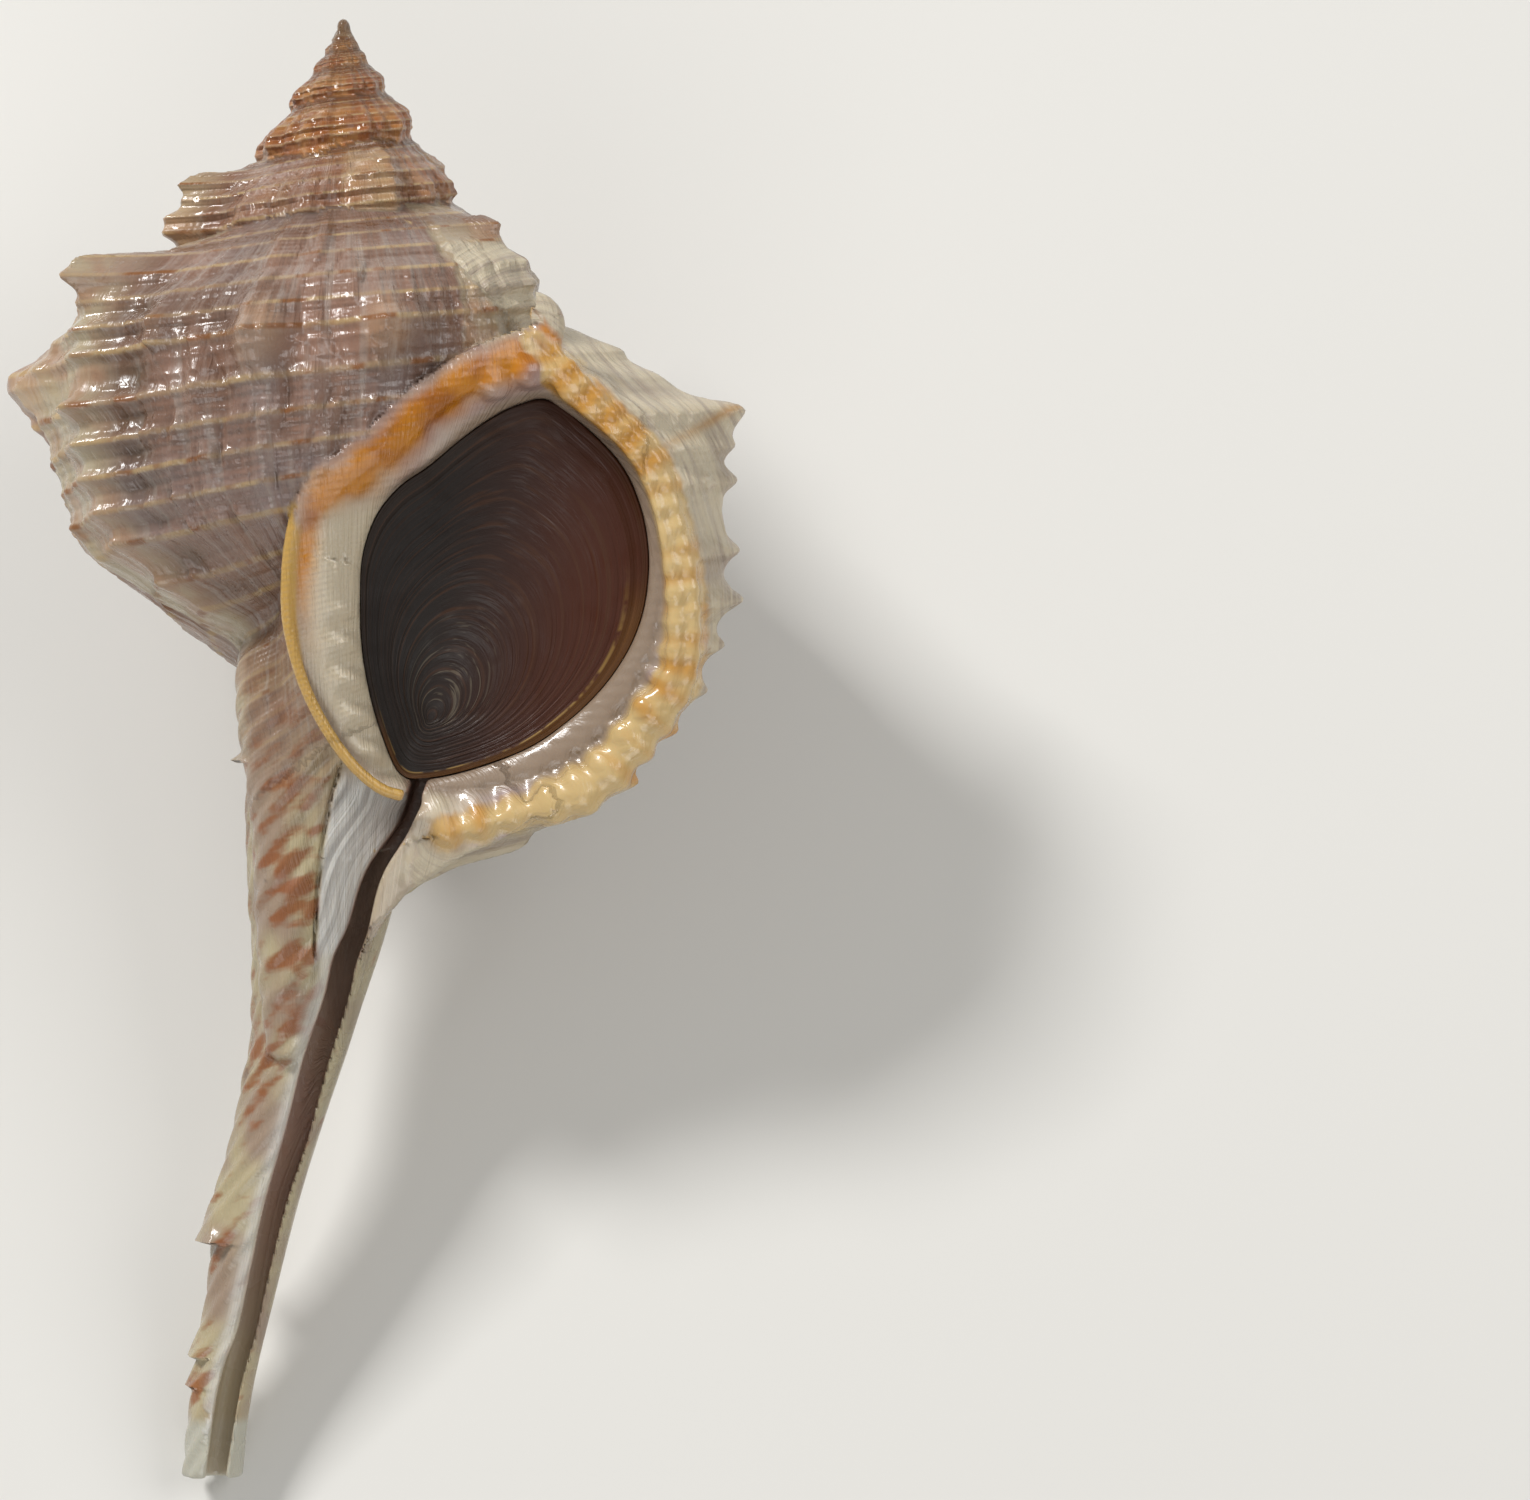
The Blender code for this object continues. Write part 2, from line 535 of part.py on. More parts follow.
def largest_body(points, triangles):
    """Drop the loose crumbs that the grid may leave beside the shell."""
    label = np.arange(len(points))
    while True:
        least = label[triangles].min(axis=1)
        fresh = label.copy()
        for corner in range(3):
            np.minimum.at(fresh, triangles[:, corner], least)
        fresh = fresh[fresh]
        if (fresh == label).all():
            break
        label = fresh
    names, counts = np.unique(label[triangles[:, 0]], return_counts=True)
    keep = triangles[label[triangles[:, 0]] == names[counts.argmax()]]
    used, renumbered = np.unique(keep, return_inverse=True)
    return points[used], renumbered.reshape(-1, 3)


def make_shell(form):
    """The grown shell as one closed solid."""
    axes = [np.arange(low, high, GRID) for low, high in zip(GRID_LOW, GRID_HIGH)]
    slabs = []
    for x in axes[0]:
        y, z = np.meshgrid(axes[1], axes[2], indexing="ij")
        slabs.append(form.field(np.full_like(y, x), y, z))
    points, triangles = surface_of(np.stack(slabs), np.array(GRID_LOW), GRID)
    points, triangles = largest_body(points, triangles)
    finish = material("shell_aragonite", (0.42, 0.31, 0.27), 0.3)
    shell = add_object("shell", points, triangles[:, ::-1], finish)
    thin = shell.modifiers.new("fewer faces", "DECIMATE")
    thin.ratio = SHELL_TRIANGLES / len(triangles)
    return shell


def make_operculum(form):
    """The horny lid: a shallow dish with growth rings round a low nucleus."""
    edge = curve_through(list(OPENING) + list(OPENING[:3]), steps=2)
    edge = edge[2:2 * len(OPENING) + 2]
    ahead = np.roll(edge, -1, axis=0) - np.roll(edge, 1, axis=0)
    inward = np.stack([-ahead[:, 1], ahead[:, 0]], axis=1)
    inward /= np.linalg.norm(inward, axis=1)[:, None]
    middle = edge.mean(axis=0)
    if ((middle - edge) * inward).sum() < 0.0:
        inward = -inward
    edge = edge + LID_GAP * inward
    nucleus = np.array(NUCLEUS)
    points = []
    count = len(edge)
    shares = (1.0, 0.86, 0.72, 0.56, 0.38, 0.18)
    for side in (0, 1):
        for index, share in enumerate(shares):
            ring = nucleus + share * (edge - nucleus)
            for x, y in ring:
                front = form.plane_z(y) - form.plane_slope(y) * x
                level = front - RECESS - RECESS_SLOPE * (x - OPENING[0][0])
                level -= 0.35 * (1.0 - share) + 0.12 * (index % 2)
                points.append((x, y, level - side * LID_THICK * (0.6 + 0.4 * (index > 0))))
    layers = len(shares)
    centre = [len(points), len(points) + 1]
    for side in (0, 1):
        x, y = nucleus
        front = form.plane_z(y) - form.plane_slope(y) * x
        level = front - RECESS - RECESS_SLOPE * (x - OPENING[0][0]) - 0.4
        points.append((x, y, level - side * LID_THICK))
    faces = []
    for side in (0, 1):
        base = side * layers * count
        for layer in range(layers - 1):
            for i in range(count):
                j = (i + 1) % count
                a, b = base + layer * count + i, base + layer * count + j
                faces.append((a, b, b + count, a + count)[::-1 if side else 1])
        last = base + (layers - 1) * count
        for i in range(count):
            j = (i + 1) % count
            faces.append((last + i, last + j, centre[side])[::-1 if side else 1])
    for i in range(count):
        j = (i + 1) % count
        faces.append((j, i, layers * count + i, layers * count + j))
    finish = material("operculum_horn", (0.05, 0.022, 0.014), 0.4)
    lid = add_object("operculum", points, faces, finish)
    return lid


def face_outward(made):
    """Turn the faces outward and shade the solid smooth."""
    mesh = made.data
    bm = bmesh.new()
    bm.from_mesh(mesh)
    bmesh.ops.recalc_face_normals(bm, faces=bm.faces)
    bm.to_mesh(mesh)
    bm.free()
    mesh.shade_smooth()


def lay_down(objects):
    """Lay the shell on its back: lowest point at z = 0, box centred on x and y."""
    turn = Matrix.Rotation(math.radians(PITCH), 4, "X")
    turn = turn @ Matrix.Rotation(math.radians(ROLL), 4, "Y")
    corners = []
    for made in objects:
        made.data.transform(turn)
        corners += [v.co for v in made.data.vertices]
    low = Vector([min(c[i] for c in corners) for i in range(3)])
    high = Vector([max(c[i] for c in corners) for i in range(3)])
    shift = Vector((-(low.x + high.x) / 2, -(low.y + high.y) / 2, -low.z))
    for made in objects:
        made.data.transform(Matrix.Translation(shift))


def main():
    for old in list(bpy.data.objects):
        bpy.data.objects.remove(old, do_unlink=True)
    form = ShellForm()
    pieces = [make_shell(form), make_operculum(form)]
    for piece in pieces:
        face_outward(piece)
    lay_down(pieces)


main()
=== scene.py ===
"""Murex shell with its operculum: the fine surface, the enamel and the horn.

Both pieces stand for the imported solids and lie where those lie.  Shell axes,
in millimetres: the origin is the apex, +x is the side of the outer lip, y is
the depth down the axis to the canal and +z is the side of the mouth.
"""
import logging
import math
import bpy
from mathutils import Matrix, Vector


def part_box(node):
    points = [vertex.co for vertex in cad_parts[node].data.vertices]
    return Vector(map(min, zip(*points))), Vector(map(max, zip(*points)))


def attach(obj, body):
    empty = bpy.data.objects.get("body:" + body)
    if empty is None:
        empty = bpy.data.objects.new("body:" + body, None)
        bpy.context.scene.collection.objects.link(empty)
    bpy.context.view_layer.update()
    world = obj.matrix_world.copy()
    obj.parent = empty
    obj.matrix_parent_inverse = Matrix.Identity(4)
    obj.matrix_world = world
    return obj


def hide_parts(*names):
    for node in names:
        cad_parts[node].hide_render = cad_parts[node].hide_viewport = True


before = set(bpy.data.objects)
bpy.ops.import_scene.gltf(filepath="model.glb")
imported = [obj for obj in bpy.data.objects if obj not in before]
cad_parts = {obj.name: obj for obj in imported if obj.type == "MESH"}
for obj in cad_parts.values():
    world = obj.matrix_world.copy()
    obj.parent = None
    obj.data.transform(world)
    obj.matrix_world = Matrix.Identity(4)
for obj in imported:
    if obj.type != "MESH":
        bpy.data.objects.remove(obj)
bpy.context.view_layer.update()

from concurrent.futures import ThreadPoolExecutor
from dataclasses import dataclass, field
from enum import Enum
from functools import cached_property
from typing import Iterable, Iterator, Sequence

import bpy
import numpy as np
from mathutils import Matrix, Vector

MM = 0.001
UPRIGHT = (MM, -MM, MM)          # shell axes to upright metres
OUTSIDE = -9.0                   # field value far outside a part, mm
LOG = logging.getLogger("murex")
Array = np.ndarray
Object = bpy.types.Object
Mesh = bpy.types.Mesh
Points = Sequence[Sequence[float]]


# --- curves and blends -------------------------------------------------------
def smooth_max(a: Array, b: Array, k: float) -> Array:
    """Greater of two fields, rounded over the length k where they meet."""
    h = np.clip(0.5 + 0.5 * (a - b) / k, 0.0, 1.0)
    return b + (a - b) * h + k * h * (1.0 - h)


def smooth_min(a: Array, b: Array, k: float) -> Array:
    """Lesser of two fields, rounded over the length k where they meet."""
    return -smooth_max(-a, -b, k)


def bump(x: Array, width: float | Array) -> Array:
    """Smooth bell of height 1 and half width `width`."""
    return np.exp(-(x / width) ** 2)


def ramp(x: Array, low: float, high: float) -> Array:
    """Smooth step from 0 at `low` to 1 at `high`."""
    t = np.clip((x - low) / (high - low), 0.0, 1.0)
    return t * t * (3.0 - 2.0 * t)


def sway(x: Array, seed: float) -> Array:
    """Irregular wave between about -1 and 1, with a main period of 1."""
    turn = 2.0 * math.pi * x
    return (0.5 * np.sin(turn + seed) + 0.3 * np.sin(1.618 * turn + 2.3 * seed)
            + 0.2 * np.sin(2.71 * turn + 4.1 * seed))


def curve_through(points: Points, steps: int = 24) -> Array:
    """Smooth run of points (Catmull-Rom) through the given ones.

    Args:
        points: the points that the run passes through.
        steps: how many pieces each stretch between two points is cut into.

    Returns:
        The run, one point a row.
    """
    pts = np.array(points, dtype=float)
    pts = np.vstack([2 * pts[0] - pts[1], pts, 2 * pts[-1] - pts[-2]])
    out = []
    for a, b, c, d in zip(pts[:-3], pts[1:-2], pts[2:-1], pts[3:]):
        for u in np.linspace(0.0, 1.0, steps, endpoint=False):
            out.append(0.5 * ((2 * b) + (c - a) * u + (2 * a - 5 * b + 4 * c - d) * u * u
                              + (3 * b - a - 3 * c + d) * u ** 3))
    out.append(pts[-2])
    return np.array(out)


class Profile:
    """Smooth curve with one value for each place, kept as a fine table."""

    def __init__(self, points: Points, column: int = 1) -> None:
        """Take the places from the first column and the values from another."""
        run = curve_through([(p[0], p[column]) for p in points])
        self.places = run[:, 0]
        self.values = run[:, 1]

    def __call__(self, place: Array) -> Array:
        """Value of the curve at each place."""
        return np.interp(place, self.places, self.values)


class FrontMap:
    """Values on a fine grid over x and y, read with straight blending."""

    X0, X1, Y0, Y1 = -14.0, 27.0, 8.0, 92.0
    TINY = 1e-12

    def __init__(self, step: float) -> None:
        """Lay the grid with the given spacing in millimetres."""
        self.step = step
        self.xs = np.arange(self.X0, self.X1, step)
        self.ys = np.arange(self.Y0, self.Y1, step)
        self.x, self.y = np.meshgrid(self.xs, self.ys, indexing="ij")

    def read(self, table: Array, x: Array, y: Array) -> Array:
        """Blend the table's values at the given places.

        Args:
            table: one value a grid point.
            x: the places across.
            y: the places down.

        Returns:
            The values.
        """
        u = np.clip((x - self.X0) / self.step, 0, len(self.xs) - 1.001)
        v = np.clip((y - self.Y0) / self.step, 0, len(self.ys) - 1.001)
        i = u.astype(int)
        j = v.astype(int)
        u = u - i
        v = v - j
        return ((table[i, j] * (1 - u) + table[i + 1, j] * u) * (1 - v)
                + (table[i, j + 1] * (1 - u) + table[i + 1, j + 1] * u) * v)

    def beside(self, a: Sequence[float], dx: float, dy: float,
               squared: float) -> tuple[Array, Array]:
        """Share of a stretch that each grid point lies beside, and how far off it is."""
        share = np.clip(((self.x - a[0]) * dx + (self.y - a[1]) * dy) / squared, 0, 1)
        return share, np.hypot(self.x - a[0] - share * dx, self.y - a[1] - share * dy)

    def along(self, points: Points) -> tuple[Array, Array, Array]:
        """Measure the grid against a line.

        Args:
            points: the line's points as x, y and a third value.

        Returns:
            Distance across the line (positive on its right as it runs down),
            length along it, and the third value at the nearest point.
        """
        run = curve_through(points, steps=5)
        best = np.full(self.x.shape, 1e9)
        length = np.zeros(self.x.shape)
        third = np.zeros(self.x.shape)
        side = np.ones(self.x.shape)
        walked = 0.0
        for a, b in zip(run[:-1], run[1:]):
            dx, dy = b[0] - a[0], b[1] - a[1]
            seg = math.hypot(dx, dy)
            u, off = self.beside(a, dx, dy, seg ** 2)
            near = off < best
            best = np.where(near, off, best)
            length = np.where(near, walked + u * seg, length)
            third = np.where(near, a[2] + u * (b[2] - a[2]), third)
            turned = dy * (self.x - a[0]) - dx * (self.y - a[1])
            side = np.where(near, np.where(turned < 0.0, -1.0, 1.0), side)
            walked += seg
        return best * side, length, third

    def inside(self, points: Points) -> Array:
        """Distance to a closed outline, positive inside it.

        Args:
            points: the outline's points as x, y.

        Returns:
            The distance at each grid point.
        """
        ring = curve_through(list(points) + list(points[:2]), steps=6)[:-6]
        best = np.full(self.x.shape, 1e9)
        crossed = np.zeros(self.x.shape, dtype=bool)
        for (ax, ay), (bx, by) in zip(ring, np.roll(ring, -1, axis=0)):
            dx, dy = bx - ax, by - ay
            squared = max(dx * dx + dy * dy, self.TINY)
            best = np.minimum(best, self.beside((ax, ay), dx, dy, squared)[1])
            span = (ay > self.y) != (by > self.y)
            cut = ax + (self.y - ay) * dx / (dy if abs(dy) > self.TINY else self.TINY)
            crossed ^= span & (self.x < cut)
        return np.where(crossed, best, -best)


# --- the shell as a field ----------------------------------------------------
@dataclass(frozen=True)
class Growth:
    """One logarithmic growth law for every turn of the shell."""

    expansion: float = 1.62      # size of a turn over the size of the turn before
    lip_angle: float = 209.0     # growth angle where the last turn's outside ends, degrees
    cut_angle: float = 182.0     # from here on the mouth's front cuts the last turn
    last_from: float = 60.0      # the last turn is added from here
    fill_angle: float = 318.0    # the whorl behind the mouth is solid up to here
    suture: float = 14.94        # where a turn meets the one before, at unit size
    turns: int = 8
    length: float = 88.0         # apex to tip of the canal

    def size(self, turn: Array) -> Array:
        """Size of the shell at a growth angle, 1 at angle 0."""
        return self.expansion ** (turn / 360.0)

    def newest(self, angle: Array) -> Array:
        """Growth angle of the newest turn that the mouth doesn't cut."""
        return np.where(angle <= self.cut_angle, angle, angle - 360.0)

    def angle(self, x: Array, z: Array) -> Array:
        """Angle round the axis, 0 on the left, 90 at the back, 180 at the lip."""
        return 180.0 - np.degrees(np.arctan2(-z, x))

    def steps_back(self, depth: Array, turn: Array) -> Array:
        """How many turns back the outer turn at this depth lies (0, -1, -2 ...)."""
        reach = np.maximum(depth, 0.05) / (self.suture * self.size(turn))
        return np.minimum(np.floor(np.log(reach) / math.log(self.expansion)), 0.0)


@dataclass
class Whorls:
    """The coiled turns with their varices, spines, cords, nodules and wrinkles."""

    growth: Growth
    fine: bool = True
    slender: float = 0.22        # how much slimmer the early turns are than the last
    outline_points: Points = (
        (8.0, -4.0), (11.0, 2.6), (12.6, 6.0), (13.9, 8.6), (14.94, 10.0), (16.6, 12.1),
        (18.6, 14.6), (19.9, 15.5), (22.0, 16.0), (24.2, 16.2), (28.3, 15.7),
        (32.5, 13.8), (36.0, 9.3), (38.0, 5.4), (39.6, 2.9), (41.0, 1.2),
        (43.0, 0.2), (46.0, -1.5), (54.0, -8.0),
    )
    varix_points: Points = (
        (13.4, 0.0), (14.5, 0.5), (15.4, 1.5), (16.6, 2.2), (17.9, 3.0),
        (20.0, 2.3), (22.3, 1.9), (24.5, 1.8), (27.0, 1.8), (29.0, 1.8),
        (31.2, 1.9), (33.8, 1.8), (35.8, 2.2), (37.0, 2.0), (38.0, 1.1),
        (39.2, 0.3), (42.0, 0.0),
    )
    # growth angle of the crest, height, and lean and height of the shoulder spine
    varices: list[tuple[float, float, float, float]] = field(default_factory=lambda: [
        (192.0, 1.0, 0.0, 1.3), (68.0, 0.95, 2.3, 2.8), (-30.0, 0.9, 2.45, 5.0),
        (-150.0, 0.6, 3.0, 1.6), (-265.0, 0.95, 1.8, 2.2), (-375.0, 1.05, 2.2, 3.8),
        (-477.0, 0.9, 2.0, 1.2), (-560.0, 0.5, 1.0, 0.6)])
    old_varix: tuple[float, float, float] = (0.45, 1.0, 0.5)    # of each one farther back
    varix_spacing: float = 118.0     # degrees, as the slopes before and after the crest
    varix_back: float = 26.0
    varix_front: float = 23.0
    tooth: float = 2.4           # how far the varix's edge runs out at the cords, degrees
    tooth_width: float = 0.75
    shoulder: float = 18.3       # place of the turn's shoulder
    # place of each cord down the turn, height of its spine on the lip and on older varices
    cords: tuple[tuple[float, float, float], ...] = (
        (14.6, 0.3, 0.6), (15.5, 0.3, 0.5), (16.7, 0.0, 0.0), (18.3, 0.0, 0.0),
        (20.0, 0.2, 0.3), (21.6, 0.3, 0.4), (24.8, 0.5, 1.2), (27.1, 0.8, 0.5),
        (29.2, 0.3, 0.3), (31.3, 0.3, 0.2), (33.2, 0.4, 0.4), (35.6, 1.3, 0.3),
        (37.1, 1.4, 0.0), (38.6, 2.8, 0.0), (40.2, 1.6, 0.0),
    )
    cord_height: float = 0.38
    cord_width: float = 0.42
    pit_depth: float = 0.55      # hollows between the cords behind a varix
    riblet_pitch: float = 16.0   # spacing of the riblets of the early turns, degrees
    # growth angle, height, half width in degrees and place of each nodule
    ribs: list[tuple[float, float, float, float]] = field(default_factory=lambda: [
        (70.0, 0.7, 7.0, 24.2), (120.0, 2.4, 7.5, 23.2), (168.0, 0.7, 8.0, 21.2),
        (26.0, 1.2, 9.0, 21.2), (-2.0, 3.4, 11.0, 22.2), (-8.0, 1.0, 8.0, 32.4),
        (-75.0, 2.5, 6.0, 21.8), (-103.0, 2.4, 6.0, 22.0), (-49.0, 1.2, 4.5, 20.4),
        (-74.0, 1.1, 3.5, 15.9), (-87.0, 1.1, 3.0, 15.7), (-95.0, 0.8, 3.0, 18.2),
        (-86.0, 0.6, 4.5, 25.0), (-112.0, 0.7, 4.0, 22.5), (-60.0, 0.8, 3.0, 24.5),
        (-219.0, 0.8, 8.0, 21.2), (-372.0, 2.5, 8.0, 20.8)])
    old_rib: tuple[float, float, float] = (1.2, 8.0, 21.0)
    places: tuple[float, float] = (8.0, 54.0)    # stretch that the relief covers
    reach: float = 60.0          # degrees from its crest beyond which nothing stands
    worn_from: float = -200.0    # before this growth angle the spines are worn
    worn: float = 0.6            # what is left of them there

    def __post_init__(self) -> None:
        """Carry the varices and nodules on up the spire and make the relief."""
        self.outline = Profile(self.outline_points)
        self.varix_height = Profile(self.varix_points)
        while self.varices[-1][0] > -360.0 * self.growth.turns:
            self.varices.append((self.varices[-1][0] - self.varix_spacing,) + self.old_varix)
        angles = [varix[0] for varix in self.varices]
        for after, before in zip(angles[2:-1], angles[3:]):
            if after <= self.worn_from:
                gap = after - before
                self.ribs += [(before + share * gap,) + self.old_rib for share in (0.40, 0.70)]
        self.place_step = 0.04 if self.fine else 0.08
        self.turn_step = 0.5 if self.fine else 1.0
        self.relief = self.make_relief()

    def near(self, rows: Iterable[tuple[float, ...]],
             turn: Array) -> Iterator[tuple[Array, tuple[float, ...]]]:
        """Rows near the growth angles, each with how far ahead of it they lie."""
        for row in rows:
            ahead = turn - row[0]
            if ahead.max() >= -self.reach and ahead.min() <= self.reach:
                yield ahead, row

    def varix_level(self, place: Array, turn: Array) -> Array:
        """Height of the varices.

        Args:
            place: depth down the turn, at unit size.
            turn: growth angle in degrees.

        Returns:
            The height, 1 on the crest of a full varix.
        """
        edge = self.varix_front + self.tooth * (0.5 - self.cord_lines(place, self.tooth_width))
        level = np.zeros(np.broadcast(place, turn).shape)
        for angle, size, _, _ in self.varices:
            ahead = turn - angle
            back = np.clip(1.0 + ahead / self.varix_back, 0.0, 1.0) ** 2.8
            if angle < self.varices[0][0]:
                face = 1.0 - 0.80 * np.clip(ahead / self.varix_front, 0.0, 1.0) ** 1.1
                face = face * np.clip((edge - ahead) / 1.0, 0.0, 1.0)
            else:
                face = np.maximum(1.0 - 0.035 * ahead, 0.5)
            level = np.maximum(level, size * np.where(ahead < 0.0, back, face))
        return level

    def spines(self, place: Array, turn: Array) -> Array:
        """Height of the spines on the crests of the varices.

        Args:
            place: depth down the turn, at unit size.
            turn: growth angle in degrees.

        Returns:
            The height, at unit size.
        """
        total = np.zeros(np.broadcast(place, turn).shape)
        for ahead, (angle, size, lean, tip) in self.near(self.varices, turn):
            newest = angle == self.varices[0][0]
            spread = np.where(ahead < 0.0, np.exp(ahead / 6.0), bump(ahead, 6.0))
            below = place - self.shoulder + lean
            broad = (0.95 + 0.17 * tip) * np.where(below < 0.0, 0.38, 1.0)
            along = tip * np.exp(-np.abs(below / broad) ** 2.8)
            worn = 1.0 if angle > self.worn_from else self.worn
            for cord, at_lip, before in self.cords:
                height = at_lip if newest else worn * before
                wide = 0.95 if newest else 0.6 + 0.16 * height
                along = along + size * height * bump(place - cord, wide)
            total = total + spread * along
        return total

    def knobs(self, place: Array, turn: Array) -> Array:
        """Height of the nodules between the varices."""
        total = np.zeros(np.broadcast(place, turn).shape)
        for ahead, (_, height, width, top) in self.near(self.ribs, turn):
            tall = np.exp(-np.abs((place - top) / 2.2) ** 1.6) + 0.25 * bump(place - 26.0, 6.0)
            total = total + height * np.exp(-np.abs(ahead / width) ** 2.2) * tall
        return total

    def cord_lines(self, place: Array, width: float) -> Array:
        """1 on the crest of every cord, 0 between them."""
        return sum(bump(place - cord, width) for cord, _, _ in self.cords)

    def pits(self, place: Array, turn: Array) -> Array:
        """Depth of the hollows between the cords behind each varix, 0 to 1."""
        total = np.zeros(np.broadcast(place, turn).shape)
        between = np.clip(1.0 - self.cord_lines(place, self.tooth_width), 0.0, 1.0)
        between = between * ramp(place, 16.5, 19.0) * (1.0 - ramp(place, 35.0, 38.0))
        for ahead, (_, size, _, _) in self.near(self.varices, turn):
            total = total + size * bump(ahead + 11.0, 5.5)
        return np.minimum(total, 1.0) * between

    def fine_relief(self, place: Array, turn: Array, level: Array) -> Array:
        """Threads between the cords, growth wrinkles, and beads of the early turns.

        Args:
            place: depth down the turn, at unit size.
            turn: growth angle in degrees.
            level: height of the varices, where the relief is calmer.

        Returns:
            The height, at unit size.
        """
        places = [cord[0] for cord in self.cords]
        threads = np.zeros(np.broadcast(place, turn).shape)
        for start, end in zip(places[:-1], places[1:]):
            for share in ((0.5,) if end - start < 1.3 else (0.33, 0.67)):
                threads = threads + bump(place - start - share * (end - start), 0.2)
        calm = 1.0 - 0.7 * np.clip(level, 0.0, 1.0)
        lean = 0.35 * np.sin(place * 0.55) + 0.2 * sway(place / 13.0, 6.0)
        broad = sway(turn / 7.6 + lean, 1.0) * (0.7 + 0.5 * sway(place / 5.1 + turn / 37.0, 2.0))
        narrow = sway(turn / 3.1 + lean, 3.0) * (0.6 + 0.5 * sway(place / 2.3 + turn / 19.0, 4.0))
        early = ramp(-turn, 120.0, 420.0)
        young = ramp(-turn, 420.0, 800.0)
        rough = calm * (1.0 - young) * (0.22 + 0.02 * early) * (0.35 + 0.65 * ramp(place, 15.0, 19.5))
        lattice = (1.0 + 1.2 * self.cord_lines(place, 0.5)) * (broad + 0.2 * narrow)
        riblets = young * (0.5 + 0.5 * np.cos(2.0 * math.pi * turn / self.riblet_pitch))
        riblets = riblets * bump(place - 19.5, 4.5)
        return 0.12 * threads * calm + rough * lattice + 0.75 * riblets

    def radius(self, place: Array, turn: Array) -> Array:
        """Radius of a turn at unit size.

        Args:
            place: depth down the turn, at unit size.
            turn: growth angle in degrees.

        Returns:
            The radius, with all that stands on the turn.
        """
        slim = np.clip((-turn - 60.0) / 380.0, 0.0, 1.0)
        tip = ramp(-turn, 1000.0, 1700.0)
        radius = self.outline(place) * (1.0 - self.slender * slim - 0.10 * tip)
        level = self.varix_level(place, turn)
        radius = radius + level * self.varix_height(place) + self.spines(place, turn)
        raised = self.cord_height * (0.8 + 0.7 * level)
        radius = radius + raised * self.cord_lines(place, self.cord_width)
        radius = radius + self.knobs(place, turn) - self.pit_depth * self.pits(place, turn)
        return radius + self.fine_relief(place, turn, level)

    def make_relief(self) -> Array:
        """Unit radius as a table over place (rows) and growth angle (columns).

        Returns:
            The table.
        """
        places = np.arange(self.places[0], self.places[1], self.place_step)
        turns = np.arange(-360.0 * self.growth.turns, self.growth.fill_angle + 2.0, self.turn_step)
        starts = range(0, len(turns), 120)
        with ThreadPoolExecutor(4) as pool:
            blocks = pool.map(lambda s: self.radius(places[:, None], turns[None, s:s + 120])
                              .astype(np.float32), starts)
            return np.concatenate(list(blocks), axis=1)

    def field(self, radius: Array, depth: Array, turn: Array) -> Array:
        """Field of the turn that passes at the given growth angle.

        Args:
            radius: distance from the axis.
            depth: distance down the axis.
            turn: growth angle in degrees.

        Returns:
            The field, positive inside.
        """
        size = self.growth.size(turn)
        rows, columns = self.relief.shape
        u = np.clip((depth / size - self.places[0]) / self.place_step, 0, rows - 1.01)
        v = np.clip((turn + 360.0 * self.growth.turns) / self.turn_step, 0, columns - 1.01)
        i = u.astype(np.int32)
        j = v.astype(np.int32)
        u = (u - i).astype(np.float32)
        v = (v - j).astype(np.float32)
        flat = self.relief.reshape(-1)
        at = i * columns + j
        low = flat[at] * (1 - v) + flat[at + 1] * v
        high = flat[at + columns] * (1 - v) + flat[at + columns + 1] * v
        return size * (low * (1 - u) + high * u) - radius


